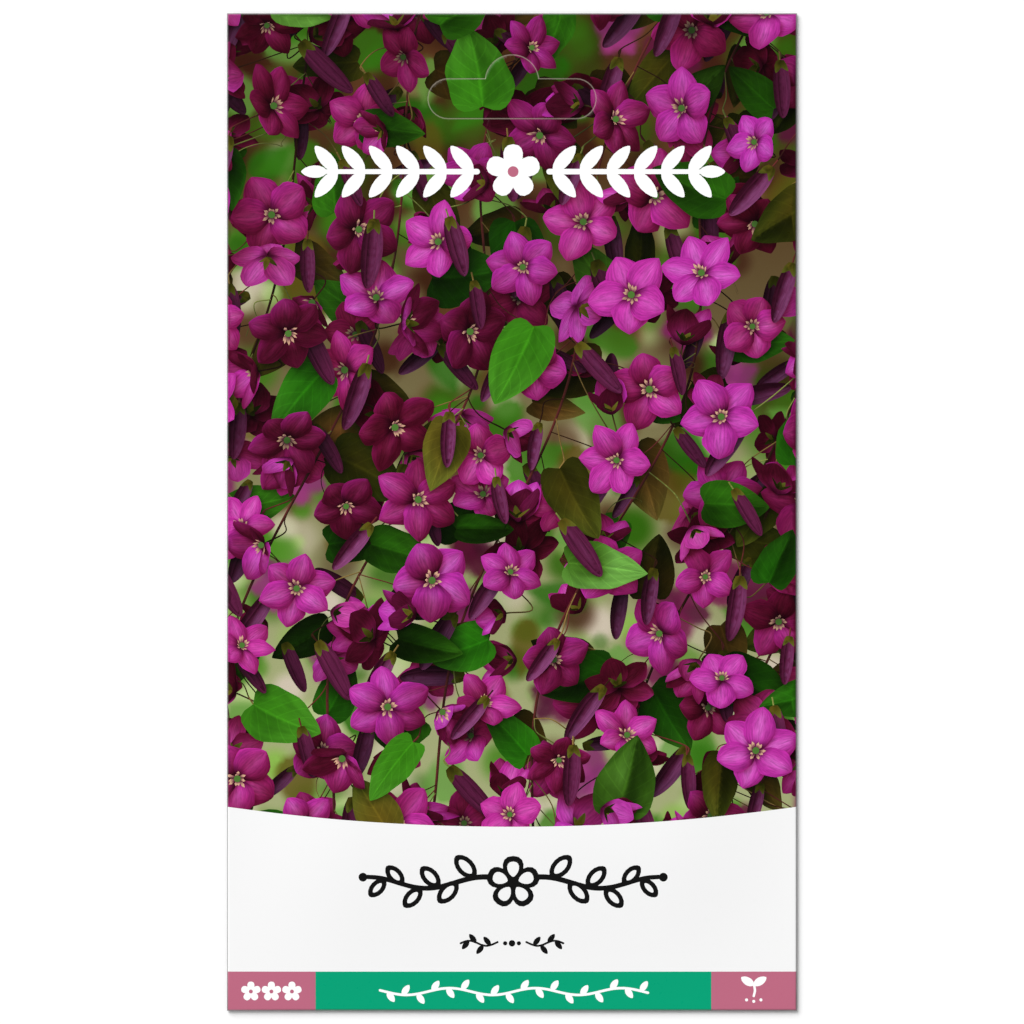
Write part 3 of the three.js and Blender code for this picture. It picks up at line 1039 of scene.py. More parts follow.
def draw_label(art):
    """The label and the strip at its foot, with their ornaments."""
    left_end = [(-PAST_X, LABEL_EDGE_Y), (-PAST_X, -PAST_Y)]
    art.flat([(PAST_X, -PAST_Y), (PAST_X, LABEL_EDGE_Y), *label_arc(), *left_end], LABEL)
    edges = (-PAST_X, STRIP_LEFT_X, STRIP_RIGHT_X, PAST_X)
    for left, right, colour in zip(edges, edges[1:], (STRIP_PINK, STRIP_GREEN, STRIP_PINK)):
        art.flat(rectangle(left, right, -PAST_Y, STRIP_TOP_Y), colour)
    draw_garland(art, *LABEL_GARLAND)
    draw_small_sprig(art, *LABEL_SPRIG)
    draw_strip_garland(art, *STRIP_GARLAND)
    for flower in STRIP_FLOWERS:
        draw_flower(art, *flower)
    draw_sprout(art, *STRIP_SPROUT)


# Hang slot, flaps and seam


def arc_points(centre, radius, start, end, count):
    return [centre + radius * heading(turn) for turn in np.linspace(start, end, count)]


def slot_outline(grow):
    middle = SLOT_BOTTOM + SLOT_BAR_HEIGHT / 2
    end_x = SLOT_WIDTH / 2 - SLOT_BAR_HEIGHT / 2
    end_radius = SLOT_BAR_HEIGHT / 2 + grow
    dome_radius = SLOT_DOME_RADIUS + grow
    dome_y = SLOT_BOTTOM + SLOT_BAR_HEIGHT - SLOT_DOME_DROP
    rise = middle + end_radius - dome_y
    foot = math.atan2(rise, math.sqrt(dome_radius**2 - rise**2))
    right = arc_points((end_x, middle), end_radius, -math.pi / 2, math.pi / 2, 16)
    dome = arc_points((0, dome_y), dome_radius, foot, math.pi - foot, 24)
    left = arc_points((-end_x, middle), end_radius, math.pi / 2, 1.5 * math.pi, 16)
    return np.array(right + dome + left)


def flap_outline(length, direction, grow=0):
    """A flap from the fold that it hangs on to its free edge, counter-clockwise."""
    fold_y = direction * PAST_Y
    free_y = direction * (HALF_H - length - grow)
    fold_x = HALF_W - FLAP_SIDE_INSET + grow
    free_x = fold_x - FLAP_TAPER
    radius = FLAP_CORNER_RADIUS + grow
    end = math.pi + direction * math.pi / 2
    left = arc_points((-free_x + radius, free_y + direction * radius), radius, math.pi, end, 7)
    right = [(-x, y) for x, y in reversed(left)]
    loop = [(-fold_x, fold_y), *left, *right, (fold_x, fold_y)]
    return np.array(loop if direction > 0 else loop[::-1])


def outer_layers(grow=0):
    """What lies outermost on the back, as the back is seen: the end flaps and the narrow ply."""
    narrow = np.array(rectangle(-PAST_X, -SEAM_X + grow, -PAST_Y, PAST_Y), float)
    return [flap_outline(TOP_FLAP_LENGTH, 1, grow), flap_outline(BOTTOM_FLAP_LENGTH, -1, grow), narrow]


def distance_to_line(points, line):
    """How far each point is from a closed line of straight pieces."""
    best = np.full(len(points), np.inf)
    for start, end in zip(*with_next(line)):
        step = end - start
        share = np.clip(((points - start) @ step) / (step @ step), 0, 1)
        best = np.minimum(best, np.hypot(*(points - start - share[:, None] * step).T))
    return best


def from_edge(points):
    """How far inside the packet's outline each point is."""
    return np.minimum(HALF_W - np.abs(points[:, 0]), HALF_H - np.abs(points[:, 1]))


def inside(points, polygon):
    hits = np.zeros(len(points), int)
    for (x1, y1), (x2, y2) in zip(*with_next(polygon)):
        if y1 != y2:
            crosses = (points[:, 1] > y1) != (points[:, 1] > y2)
            hits += crosses & (points[:, 0] < x1 + (points[:, 1] - y1) * (x2 - x1) / (y2 - y1))
    return hits % 2 == 1


# Heights towards the eye, in each side's own view


def fold_cut(points):
    """How much the round of the folds takes off."""
    inner = np.clip(FOLD_RADIUS - from_edge(points), 0, FOLD_RADIUS)
    cut = FOLD_RADIUS - np.sqrt(FOLD_RADIUS**2 - inner**2)
    return np.minimum(cut, FOLD_RADIUS - FOLD_WALL / 2)


def belly(points):
    x, y = points.T
    along = np.minimum(ease(y, BELLY_TOP_END, BELLY_TOP), ease(y, -HALF_H, BELLY_BOTTOM))
    return BELLY_RISE * (ease(np.abs(x), HALF_W, BELLY_HALF_WIDTH) * along)


def slot_share(points):
    """1 on the slot's pressed line and 0 beside it."""
    share = np.zeros(len(points))
    near = points[:, 1] > SLOT_BOTTOM - 1
    away = distance_to_line(points[near], slot_outline(0))
    share[near] = np.clip(1 - away / SLOT_LINE_HALF_WIDTH, 0, 1)
    return share


def pressed(points):
    return SLOT_LINE_DEPTH * slot_share(points) + fold_cut(points)


def inside_ease(points):
    return ease(from_edge(points), *INSIDE_SLOPE)


def front_height(points):
    return FOLD_THICKNESS + belly(points) - pressed(points)


def front_form(points):
    """The front for its shading, where the paper's stiffness evens out half of the bulge."""
    return belly(points) / 2 - pressed(points)


def front_inside(points):
    flat = FOLD_THICKNESS + belly(points) - PLY
    return FOLD_RADIUS + (flat - FOLD_RADIUS) * inside_ease(points)


def back_height(points):
    away = np.full(len(points), np.inf)
    for layer in outer_layers():
        away = np.where(inside(points, layer), 0, np.minimum(away, distance_to_line(points, layer)))
    step = PLY * np.clip(away / STEP_RAMP, 0, 1)
    return -np.maximum(step, fold_cut(points)) - SLOT_LINE_DEPTH * slot_share(points)


def back_form(points):
    """The back without the steps at the edges of its flaps and seam, for its shading."""
    return -pressed(points)


def back_inside(points):
    return -FOLD_RADIUS + (FOLD_RADIUS - 2 * PLY) * inside_ease(points)


# From drawings to triangles

# What each set of random draws starts from
FRONT_DRAWS, BACK_DRAWS = 11, 23
PICTURE_DRAWS, FRONT_PLAIN_DRAWS, BACK_PLAIN_DRAWS, INNER_DRAWS = 1, 2, 3, 5

BORDER_STEP = 1
NEAR_RIM = 0.01

# The steps of the points strewn over the print, which carry its soft shading, and how they lie
PICTURE_STEP = 0.72
PLAIN_STEP = 2.6
INNER_STEP = 5
ROW_STEP = 0.866
JITTER = 0.12
CLEAR_OF_FOLD = 0.7

# Where along it each edge of a shape is tested for being covered or off the sheet
EDGE_SHARES = np.array([0.02, 0.35, 0.65, 0.98])[:, None, None]
OFF_SHEET = -0.05

# Points nearer than this become one
JOINED_WITHIN = 0.004

SHADOW_DROP = np.array([0.24, -0.34])
MOST_SHADE = 1.08

# The ink gives back this much of the light that its colour on the screen says
INK_STRENGTH = 0.93


def inset_loop(distance):
    x, y = HALF_W - distance, HALF_H - distance
    return np.array(rectangle(-x, x, -y, y), float)


def border_points():
    """The packet's outline, counter-clockwise from its lower left corner."""
    points = []
    for start, end in zip(*with_next(inset_loop(0))):
        count = round(math.dist(start, end) / BORDER_STEP)
        points += [start + (end - start) * k / count for k in range(count)]
    return np.array(points)


def strewn(bottom, top, step, start):
    """Points across the packet between two heights, nearly on a grid, and clear of its folds."""
    xs = np.arange(-HALF_W + step / 2, HALF_W, step)
    ys = np.arange(bottom + step / 2, top, step * ROW_STEP)
    grid = np.stack(np.meshgrid(xs, ys), -1)
    grid[1::2, :, 0] += step / 2
    points = grid.reshape(-1, 2)
    points = points + np.random.default_rng(start).uniform(-JITTER, JITTER, points.shape) * step
    return points[from_edge(points) > CLEAR_OF_FOLD]


class Finder:
    """Finds which of many points lie in a box or in a closed line."""

    def __init__(self, points):
        self.points = points
        self.order = np.argsort(points[:, 0])
        self.xs = points[self.order, 0]

    def within(self, low, high):
        start, end = np.searchsorted(self.xs, (low[0], high[0]))
        near = self.order[start:end]
        y = self.points[near, 1]
        return near[(y > low[1]) & (y < high[1])]

    def inside(self, line):
        near = self.within(line.min(0), line.max(0))
        return near[inside(self.points[near], line)]


def seen_edges(outlines):
    """The pieces of the outlines that no later outline covers, and that lie on the packet."""
    starts, ends = (np.concatenate(part) for part in zip(*map(with_next, outlines)))
    owner = np.repeat(np.arange(len(outlines)), [len(line) for line in outlines])
    samples = (starts * (1 - EDGE_SHARES) + ends * EDGE_SHARES).reshape(-1, 2)
    owners = np.tile(owner, len(EDGE_SHARES))
    hidden = from_edge(samples) < OFF_SHEET
    finder = Finder(samples)
    for number, line in enumerate(outlines):
        held = finder.inside(line)
        hidden[held[owners[held] < number]] = True
    seen = ~hidden.reshape(len(EDGE_SHARES), -1).all(0)
    return starts[seen], ends[seen]


def triangulate(border, outlines, loops, strewn_points, joined_within=JOINED_WITHIN):
    """Triangles inside the border, and for each the number of the last outline that holds it.

    The last result is where each point of the border went.
    """
    count = len(border)
    points = [border]
    edges = [(k, (k + 1) % count) for k in range(count)]
    pieces = [seen_edges(outlines)] if outlines else []
    pieces += map(with_next, loops)
    for starts, ends in pieces:
        first = sum(map(len, points))
        points += [starts, ends]
        edges += [(first + k, first + len(starts) + k) for k in range(len(starts))]
    points = np.concatenate([*points, strewn_points]).tolist()
    made = delaunay_2d_cdt(points, edges, [list(range(count))], 1, joined_within)
    places, _, faces, sources, _, borders = made
    held = np.array([face for face, border in zip(faces, borders) if border])
    used, triangles = np.unique(held, return_inverse=True)
    places = np.array([tuple(place) for place in places])[used]
    triangles = triangles.reshape(-1, 3)
    went = np.zeros(count, int)
    for place, origins in enumerate(sources):
        for origin in origins:
            if origin < count:
                went[origin] = np.searchsorted(used, place)

    finder = Finder(places[triangles].mean(1))
    tops = np.zeros(len(triangles), int)
    for number, line in enumerate(outlines, 1):
        tops[finder.inside(line)] = number
    return places, triangles, tops, went


def light_left(art, points, tops):
    """How much light the shapes over each point leave to it."""
    light = np.ones(len(points))
    finder = Finder(points)
    for number, shape in enumerate(art.shapes, 1):
        if shape.casts:
            strength, blur = shape.casts
            line = shape.outline() + SHADOW_DROP
            near = finder.within(line.min(0) - blur, line.max(0) + blur)
            near = near[tops[near] < number]
            light[near] *= 1 - strength * shape.cover(points[near] - SHADOW_DROP, blur)
    for number, centre, radius, strength in art.dims:
        near = finder.within(centre - radius, centre + radius)
        near = near[tops[near] <= number]
        light[near] *= 1 - strength * ease(distance(points[near], centre), radius, radius * 0.3)
    for number, shape in enumerate(art.shapes, 1):
        if shape.far:
            light[tops == number] = 1
    return light


def painted(art, places, triangles, tops):
    """Colour and grain for each corner of each triangle. Outline 0 is the bare sheet."""
    layers = len(art.shapes) + 1
    pairs, back = np.unique(triangles * layers + tops[:, None], return_inverse=True)
    vertex, top = np.divmod(pairs, layers)
    points = places[vertex]
    colour = np.repeat(LABEL[None], len(pairs), 0)
    shade = np.ones(len(pairs))
    tint = np.ones((len(pairs), 3))
    grain = np.zeros((len(pairs), 3))
    for number in np.unique(top[top > 0]):
        rows = np.flatnonzero(top == number)
        shape = art.shapes[number - 1]
        colour[rows], shade[rows], grain[rows] = shape.paint(points[rows])
        tint[rows] = shape.tint
    shade = shade * light_left(art, points, top)
    colour = colour * np.minimum(shade, 1)[:, None] ** tint * np.clip(shade, 1, MOST_SHADE)[:, None]
    return colour[back].reshape(-1, 3, 3), grain[back].reshape(-1, 3, 3)


def to_light(colour):
    """Screen colour to the share of light that the ink gives back."""
    colour = np.clip(colour, 0, 1)
    return np.where(colour <= 0.04045, colour / 12.92, ((colour + 0.055) / 1.055) ** 2.4) * INK_STRENGTH


def rim_of(triangles):
    """The numbers of the points on the outline, in order round it."""
    sides = np.concatenate([triangles[:, [0, 1]], triangles[:, [1, 2]], triangles[:, [2, 0]]])
    size = triangles.max() + 1
    single = ~np.isin(sides[:, 1] * size + sides[:, 0], sides[:, 0] * size + sides[:, 1])
    following = dict(sides[single].tolist())
    rim = [next(iter(following))]
    while following[rim[-1]] != rim[0]:
        rim.append(following[rim[-1]])
    return np.array(rim)


def surface_normals(height, points, step=0.02):
    across = height(points + (step, 0)) - height(points - (step, 0))
    along = height(points + (0, step)) - height(points - (0, step))
    return np.column_stack([-across, -along, np.full(len(points), 2 * step)])


def outward(points):
    """The flat direction out of the packet at a point of its outline."""
    out = np.zeros((len(points), 3))
    out[:, :2] = np.sign(points) * (np.abs(points) > (HALF_W - NEAR_RIM, HALF_H - NEAR_RIM))
    return out


# The sheet

PRINT, WALL, INSIDE = 0, 1, 2
RIM_RISE = 0.8
STEEP = 0.5

# The flat map has the printed outside over most of it, the folded edge as a thin line round that,
# and the inside squeezed in beside them.
MAP_MARGIN = 0.01
MAP_PRINT_WIDTH = 0.92
MAP_INSIDE_START = 0.955
MAP_INSIDE_WIDTH = 0.035
MAP_WALL_WIDTH = 0.004


def new_object(name, data):
    made = bpy.data.objects.new(name, data)
    bpy.context.scene.collection.objects.link(made)
    return made


def new_piece(name, points, faces, material):
    """A mesh object from points in millimetres."""
    mesh = bpy.data.meshes.new(name)
    mesh.from_pydata((np.array(points) * MM).tolist(), [], faces)
    mesh.materials.append(material)
    return new_object(name, mesh)


def write_corners(mesh, name, values):
    layer = mesh.attributes.new(name, "FLOAT_VECTOR", "CORNER")
    layer.data.foreach_set("vector", values.astype(np.float32).ravel())


def finish_piece(piece, node):
    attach(piece, "root")
    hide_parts(node)


class Sheet:
    """A closed sheet: its printed outside, its plain inside, and the folded edge between them.

    All is worked out as the side is seen, and the back is then turned over.
    """

    def __init__(self, art, loops, points, heights):
        height, self.form, inside_height = heights
        outlines = [shape.outline() for shape in art.shapes]
        places, triangles, tops, _ = triangulate(border_points(), outlines, loops, points)
        self.ink, self.grain = painted(art, places, triangles, tops)
        self.rim = rim_of(triangles)
        inner_points = strewn(-HALF_H, HALF_H, INNER_STEP, INNER_DRAWS)
        inner_loops = [inset_loop(distance) for distance in INSIDE_SLOPE]
        within, inner, _, low = triangulate(places[self.rim], [], inner_loops, inner_points, 0)
        self.count = len(places)
        self.low = low + self.count
        self.xy = np.concatenate([places, within])
        self.solid = np.column_stack([self.xy, np.concatenate([height(places), inside_height(within)])])
        parts = (triangles, self.wall(), inner[:, ::-1] + self.count)
        self.faces = np.concatenate(parts)
        self.kinds = np.repeat((PRINT, WALL, INSIDE), [len(part) for part in parts])

    def wall(self):
        after, after_low = np.roll(self.rim, -1), np.roll(self.low, -1)
        upper = np.stack([self.rim, after_low, after], 1)
        wall = np.concatenate([upper, np.stack([self.rim, self.low, after_low], 1)])
        return wall[wall[:, 1] != wall[:, 2]]

    def corner_ink(self):
        """The folded edge has the ink beside it, and the inside is bare."""
        ink = np.repeat(LABEL[None], len(self.xy), 0)
        ink[self.faces[self.kinds == PRINT].ravel()] = self.ink.reshape(-1, 3)
        ink[self.low] = ink[self.rim]
        ink = ink[self.faces]
        ink[self.kinds == PRINT] = self.ink
        ink[self.kinds == INSIDE] = LABEL
        return to_light(ink)

    def corner_grain(self):
        grain = np.zeros((len(self.faces), 3, 3))
        grain[self.kinds == PRINT] = self.grain
        return grain

    def corner_slot_and_edge_shade(self):
        """How far each corner is on the slot's pressed line, and on the painted grey line of shade along
        the folds.
        """
        edge_shade = np.clip((EDGE_SHADE_END - from_edge(self.xy)) / (EDGE_SHADE_END - EDGE_SHADE_FULL), 0, 1)
        slot_and_edge_shade = np.column_stack([slot_share(self.xy), edge_shade, np.zeros(len(self.xy))])[self.faces]
        slot_and_edge_shade[self.kinds == INSIDE] = 0
        return slot_and_edge_shade

    def corner_normals(self):
        """Smooth but for the printed triangles on edge, where one layer of paper ends on the next."""
        normals = np.tile((0, 0, -1.0), (len(self.xy), 1))
        normals[: self.count] = surface_normals(self.form, self.xy[: self.count])
        normals[self.rim] = outward(self.xy[self.rim]) + (0, 0, RIM_RISE)
        normals[self.low] = outward(self.xy[self.low])
        normals = (normals / np.linalg.norm(normals, axis=1, keepdims=True))[self.faces]
        normals[self.kinds == INSIDE] = (0, 0, -1)
        a, b, c = self.solid[self.faces].transpose(1, 0, 2)
        flat = np.cross(b - a, c - a)
        flat /= np.maximum(np.linalg.norm(flat, axis=1, keepdims=True), 1e-12)
        inner = from_edge((a + b + c) / 3) > FOLD_RADIUS
        steep = (self.kinds == PRINT) & inner & (flat[:, 2] < STEEP)
        normals[steep] = flat[steep, None]
        return normals

    def corner_map(self):
        share = (self.xy + (HALF_W, HALF_H)) / (WIDTH, HEIGHT)
        printed = MAP_MARGIN + share * (MAP_PRINT_WIDTH, 1 - 2 * MAP_MARGIN)
        squeezed = (MAP_INSIDE_START, MAP_MARGIN) + share * (MAP_INSIDE_WIDTH, 1 - 2 * MAP_MARGIN)
        printed[self.low] += outward(self.xy[self.low])[:, :2] * MAP_WALL_WIDTH
        return np.where((self.kinds == INSIDE)[:, None, None], squeezed[self.faces], printed[self.faces])

    def make(self, name, facing, material):
        turned = np.array([facing, 1, facing])
        piece = new_piece(name, self.solid * turned, self.faces.tolist(), material)
        mesh = piece.data
        write_corners(mesh, "ink", self.corner_ink())
        write_corners(mesh, "grain", self.corner_grain())
        write_corners(mesh, "slot_and_edge_shade", self.corner_slot_and_edge_shade())
        layer = mesh.uv_layers.new(name="OFBake")
        layer.data.foreach_set("uv", self.corner_map().astype(np.float32).ravel())
        mesh.shade_smooth()
        mesh.normals_split_custom_set((self.corner_normals() * turned).reshape(-1, 3).tolist())
        return piece


# Materials


class Nodes:
    """Short ways to add nodes before the last one of a material or of the world."""

    def __init__(self, owner, end="Principled BSDF"):
        owner.use_nodes = True
        self.owner = owner
        self.tree = owner.node_tree
        self.end = self.tree.nodes[end]

    def link(self, value, socket):
        if isinstance(value, bpy.types.NodeSocket):
            self.tree.links.new(value, socket)
        else:
            socket.default_value = value

    def add(self, kind, *values, **more):
        """The outputs of a new node. Its inputs are given in order or by name, beside its settings."""
        node = self.tree.nodes.new("ShaderNode" + kind)
        for socket, value in zip(node.inputs, values):
            self.link(value, socket)
        for name, value in more.items():
            if hasattr(node, name):
                setattr(node, name, value)
            else:
                self.link(value, node.inputs[name.replace("_", " ")])
        return node.outputs

    def math(self, operation, *values):
        return self.add("Math", *values, operation=operation)[0]

    def sum(self, first, *others):
        for other in others:
            first = self.math("ADD", first, other)
        return first

    def times(self, first, second):
        return self.math("MULTIPLY", first, second)

    def noise(self, vector, scale, detail=2, roughness=0.5):
        return self.add("TexNoise", Vector=vector, Scale=scale, Detail=detail, Roughness=roughness)[0]

    def ramp(self, value, low, high, to_low, to_high):
        """The value carried from one range to another, and kept inside it."""
        return self.add("MapRange", value, low, high, to_low, to_high)[0]

    def attribute(self, name):
        return self.add("Attribute", attribute_name=name)["Vector"]

    def split(self, vector):
        return self.add("SeparateXYZ", vector)

    def join(self, *values):
        return self.add("CombineXYZ", *values)[0]

    def blend(self, share, first, second):
        node = self.tree.nodes.new("ShaderNodeMix")
        node.data_type = "RGBA"
        for number, value in ((0, share), (6, first), (7, second)):
            self.link(value, node.inputs[number])
        return node.outputs[2]

    def speckled(self, speckle, first, second):
        return self.blend(self.ramp(speckle, 0.35, 0.65, 0, 1), (*first, 1), (*second, 1))

    def places(self):
        return self.add("TexCoord")["Object"]

    def set(self, **values):
        for name, value in values.items():
            self.link(value, self.end.inputs[name.replace("_", " ")])

    def bump(self, height, strength, distance):
        self.set(Normal=self.add("Bump", Height=height, Strength=strength, Distance=distance)[0])

    def surface(self, colour, roughness, gleam):
        self.set(Base_Color=colour, Roughness=roughness, Specular_IOR_Level=gleam)


# How strongly the slot's line is pale and the folds carry their painted grey line of shade
SLOT_LINE_STRENGTH = 0.32
EDGE_SHADE_STRENGTH = 0.85

# Scales of the fine grain of each material, and how high it stands, in metres
PAPER_TOOTH, PAPER_TOOTH_HEIGHT = 5200, 0.00002
GLASSINE_WRINKLE, GLASSINE_WRINKLE_HEIGHT = 160, 0.0002
SEED_SPECKLE, SEED_SPECKLE_HEIGHT = 4200, 0.00008

# The two colours that each is speckled with
GLASSINE = ((0.76, 0.74, 0.64), (0.86, 0.84, 0.76))
KERNEL = ((0.07, 0.035, 0.018), (0.2, 0.12, 0.06))
WING = ((0.34, 0.22, 0.12), (0.52, 0.38, 0.24))


def vein_change(n):
    """How much lighter or darker the streaks, veins and blotches of petals and leaves make the ink."""
    along, across, kind = n.split(n.attribute("grain"))
    aside = n.math("ABSOLUTE", across)

    stretched = n.join(n.times(along, 2.2), n.times(across, 6), 0)
    streak = n.ramp(n.noise(stretched, 1.5, 4, 0.6), 0.32, 0.68, -0.3, 0.3)
    crease = n.ramp(aside, 0, 0.07, -0.14, 0)
    rim = n.ramp(aside, 0.86, 0.97, 0, 0.16)
    petal = n.times(n.sum(streak, crease, rim), n.math("COMPARE", kind, PETAL, 0.3))

    rib = n.ramp(aside, 0, 0.08, 0.5, 0)
    slanted = n.math("SUBTRACT", n.times(along, 6), n.times(aside, 1.9))
    vein = n.ramp(n.math("PINGPONG", slanted, 0.5), 0, 0.08, 0.26, 0)
    blotch = n.ramp(n.noise(n.join(along, across, 0), 3, 3), 0.3, 0.7, -0.22, 0.22)
    leaf = n.times(n.sum(rib, vein, blotch), n.math("COMPARE", kind, LEAF, 0.3))
    return n.sum(petal, leaf)


def print_material():
    """Satin coated paper: its ink, the pale pressed line of the slot, and a painted grey line of shade
    along the folds.
    """
    n = Nodes(bpy.data.materials.new("printed_paper"))
    change = n.sum(1, vein_change(n))
    colour = n.add("VectorMath", operation="SCALE", Vector=n.attribute("ink"), Scale=change)[0]
    slot, edge_shade, _ = n.split(n.attribute("slot_and_edge_shade"))
    colour = n.blend(n.times(slot, SLOT_LINE_STRENGTH), colour, (*to_light(SLOT_PALE), 1))
    # A painted grey line of shade along the folds, darkest at the edge
    colour = n.blend(n.times(edge_shade, EDGE_SHADE_STRENGTH), colour, (*to_light(EDGE_SHADE_GREY), 1))
    places = n.places()
    n.bump(n.noise(places, PAPER_TOOTH, 3, 0.6), 0.1, PAPER_TOOTH_HEIGHT)
    n.surface(colour, n.ramp(n.noise(places, 900), 0.3, 0.7, 0.27, 0.34), 0.1)
    return n.owner


def glassine_material():
    n = Nodes(bpy.data.materials.new("glassine"))
    places = n.places()
    fibres = n.noise(places, 700, 4, 0.65)
    n.bump(n.noise(places, GLASSINE_WRINKLE, 4, 0.6), 0.4, GLASSINE_WRINKLE_HEIGHT)
    colour = n.speckled(fibres, *GLASSINE)
    n.surface(colour, n.ramp(fibres, 0.3, 0.7, 0.3, 0.5), 0.5)
    return n.owner


def seed_material():
    """A dark kernel and a paler wing, told apart by how far out a point is."""
    n = Nodes(bpy.data.materials.new("seed_coat"))
    out, _, _ = n.split(n.attribute("grain"))
    speckle = n.noise(n.places(), SEED_SPECKLE, 3, 0.6)
    kernel = n.speckled(speckle, *KERNEL)
    wing = n.speckled(speckle, *WING)
    n.bump(speckle, 0.5, SEED_SPECKLE_HEIGHT)
    colour = n.blend(n.ramp(out, 0.5, 0.66, 0, 1), kernel, wing)
    n.surface(colour, n.ramp(speckle, 0.3, 0.7, 0.6, 0.85), 0.3)
    return n.owner


# The back's print

PANEL_LEFT = -22.5
PANEL_RIGHT = 45.5
BADGE_RADIUS = 5.2
BADGES = (
    (STRIP_GREEN, draw_sun, 3.4), (STRIP_PINK, draw_drop, 3),
    (STRIP_GREEN, draw_sprout, 5.6), (STRIP_PINK, draw_flower, 3.6),
)
RULE_STEP = 2.6
RULE_HALF_HEIGHT = 0.35

# How far the rules end short of the panel: the last of every four, and the others in turn
RULE_LAST_SHORT = 22
RULE_RAGGED = 1.5

MONTHS = 12
CALENDAR_TOP = -16
CALENDAR_ROW = 5.2
CALENDAR_GAP = 0.5
CALENDAR_BARS = ((1, 4, STRIP_GREEN), (4, 7, LEAF_PALE), (6, 10, STRIP_PINK))
FLAP_FIELD = (-PAST_X, PAST_X, HALF_H - TOP_FLAP_LENGTH - 4, HALF_H + 4)
BORDER_X = -38
BORDER_STEM = np.arange(-68, 60, 3.2)
BORDER_LEAVES = np.arange(-66, 56, 6.5)
BORDER_LEAF = (6, 2.8)
FLAP_STAR = (5.6, 7.4)
FLAP_BUD = (8, 11)

# Where the back's ornaments stand, and the rules by their top and their count
BACK_GARLAND = ((11.5, 52), 26, 0.9)
BADGES_Y = 37
RULES_ABOVE = ((26, 4), (12, 8))
RULES_BELOW = (-40, 10)

# The gap between two plants of a kind, and how many places are tried
FLAP_LEAVES = (7, 500)
FLAP_STARS = (12, 400)
FLAP_BUDS = (15, 300)


def draw_badges(art, y):
    """A sun, a drop, a seedling and a flower, each on a round ground."""
    xs = np.linspace(PANEL_LEFT + BADGE_RADIUS, PANEL_RIGHT - BADGE_RADIUS, len(BADGES))
    for x, (ground, draw, size) in zip(xs, BADGES):
        add_dot(art, (x, y), BADGE_RADIUS, ground)
        draw(art, (x, y), size)


def draw_rules(art, top, count):
    """Plain grey rules where a packet has its directions."""
    for k in range(count):
        y = top - RULE_STEP * k
        right = PANEL_RIGHT - (RULE_LAST_SHORT if k % 4 == 3 else RULE_RAGGED * (k % 3))
        art.flat(rectangle(PANEL_LEFT, right, y - RULE_HALF_HEIGHT, y + RULE_HALF_HEIGHT), RULE_GREY)


def draw_calendar(art):
    """Twelve bare cells in three rows, with coloured bars for sowing, planting out and flowering."""
    cell = (PANEL_RIGHT - PANEL_LEFT) / MONTHS
    for row, (start, end, colour) in enumerate(CALENDAR_BARS):
        top = CALENDAR_TOP - row * (CALENDAR_ROW + CALENDAR_GAP)
        for month in range(MONTHS):
            left = PANEL_LEFT + month * cell
            fill = colour if start <= month < end else CELL_GREY
            art.flat(rectangle(left, left + cell - CALENDAR_GAP, top - CALENDAR_ROW, top), fill)


def draw_flap_garden(art):
    """The front's planting carried over the top fold, seen only on the top flap."""
    between = art.between
    add_backdrop(art, FLAP_FIELD)
    for place in spread(art, FLAP_FIELD, *FLAP_LEAVES):
        colour = art.choose((LEAF_MID, LEAF_DEEP, LEAF_PALE, LEAF_OLIVE))
        add_free_leaf(art, place, between(*FAR_LEAF), colour, between(0.65, 0.95))
    for place in spread(art, FLAP_FIELD, *FLAP_STARS):
        radius = between(*FLAP_STAR)
        axis = star_axis(art, "front")
        add_star(art, place, radius, axis, between(*NEAR_OPENING), between(0.75, 1))
    for place in spread(art, FLAP_FIELD, *FLAP_BUDS):
        ahead = unit((between(-0.6, 0.6), -1, 0.1))
        add_bud(art, place, ahead, between(*FLAP_BUD), between(0.75, 1))


def border_stem(y):
    return BORDER_X + 0.7 * math.sin(y / 4), y


def draw_back(art):
    draw_flap_garden(art)
    flap = flap_outline(TOP_FLAP_LENGTH, 1)
    below = [(-PAST_X, -PAST_Y), (PAST_X, -PAST_Y), (PAST_X, PAST_Y), *flap[::-1], (-PAST_X, PAST_Y)]
    art.flat(below, LABEL)
    art.flat(flap_outline(BOTTOM_FLAP_LENGTH, -1), STRIP_PINK)
    free_y = -HALF_H + BOTTOM_FLAP_LENGTH
    art.flat(rectangle(-STRIP_RIGHT_X, -STRIP_LEFT_X, -PAST_Y, free_y), STRIP_GREEN)
    draw_strip_garland(art, (-0.3, free_y - 6), STRIP_GARLAND_HALF)
    draw_garland(art, *BACK_GARLAND)
    draw_badges(art, BADGES_Y)
    for top, count in RULES_ABOVE:
        draw_rules(art, top, count)
    draw_calendar(art)
    draw_rules(art, *RULES_BELOW)
    add_brush(art, [border_stem(y) for y in BORDER_STEM], (0.6, 0.6), STRIP_GREEN)
    for k, y in enumerate(BORDER_LEAVES):
        add_mark(art, border_stem(y), leaning(1 if k % 2 else -1, 1), *BORDER_LEAF, STRIP_GREEN)


# Making the packet

print_paper = print_material()
slot_loops = [slot_outline(grow) for grow in (-SLOT_LINE_HALF_WIDTH, 0, SLOT_LINE_HALF_WIDTH)]
fold_loops = [inset_loop(distance) for distance in (EDGE_SHADE_FULL, EDGE_SHADE_END, FOLD_RADIUS)]


def make_side(name, art, change_y, plain_draws, loops, heights, facing):
    """One printed half, its points strewn closely above a height and widely below it."""
    picture = strewn(change_y, HALF_H, PICTURE_STEP, PICTURE_DRAWS)
    points = np.concatenate([picture, strewn(-HALF_H, change_y, PLAIN_STEP, plain_draws)])
    sheet = Sheet(art, slot_loops + fold_loops + loops, points, heights)
    finish_piece(sheet.make(name, facing, print_paper), "packet_sheet")


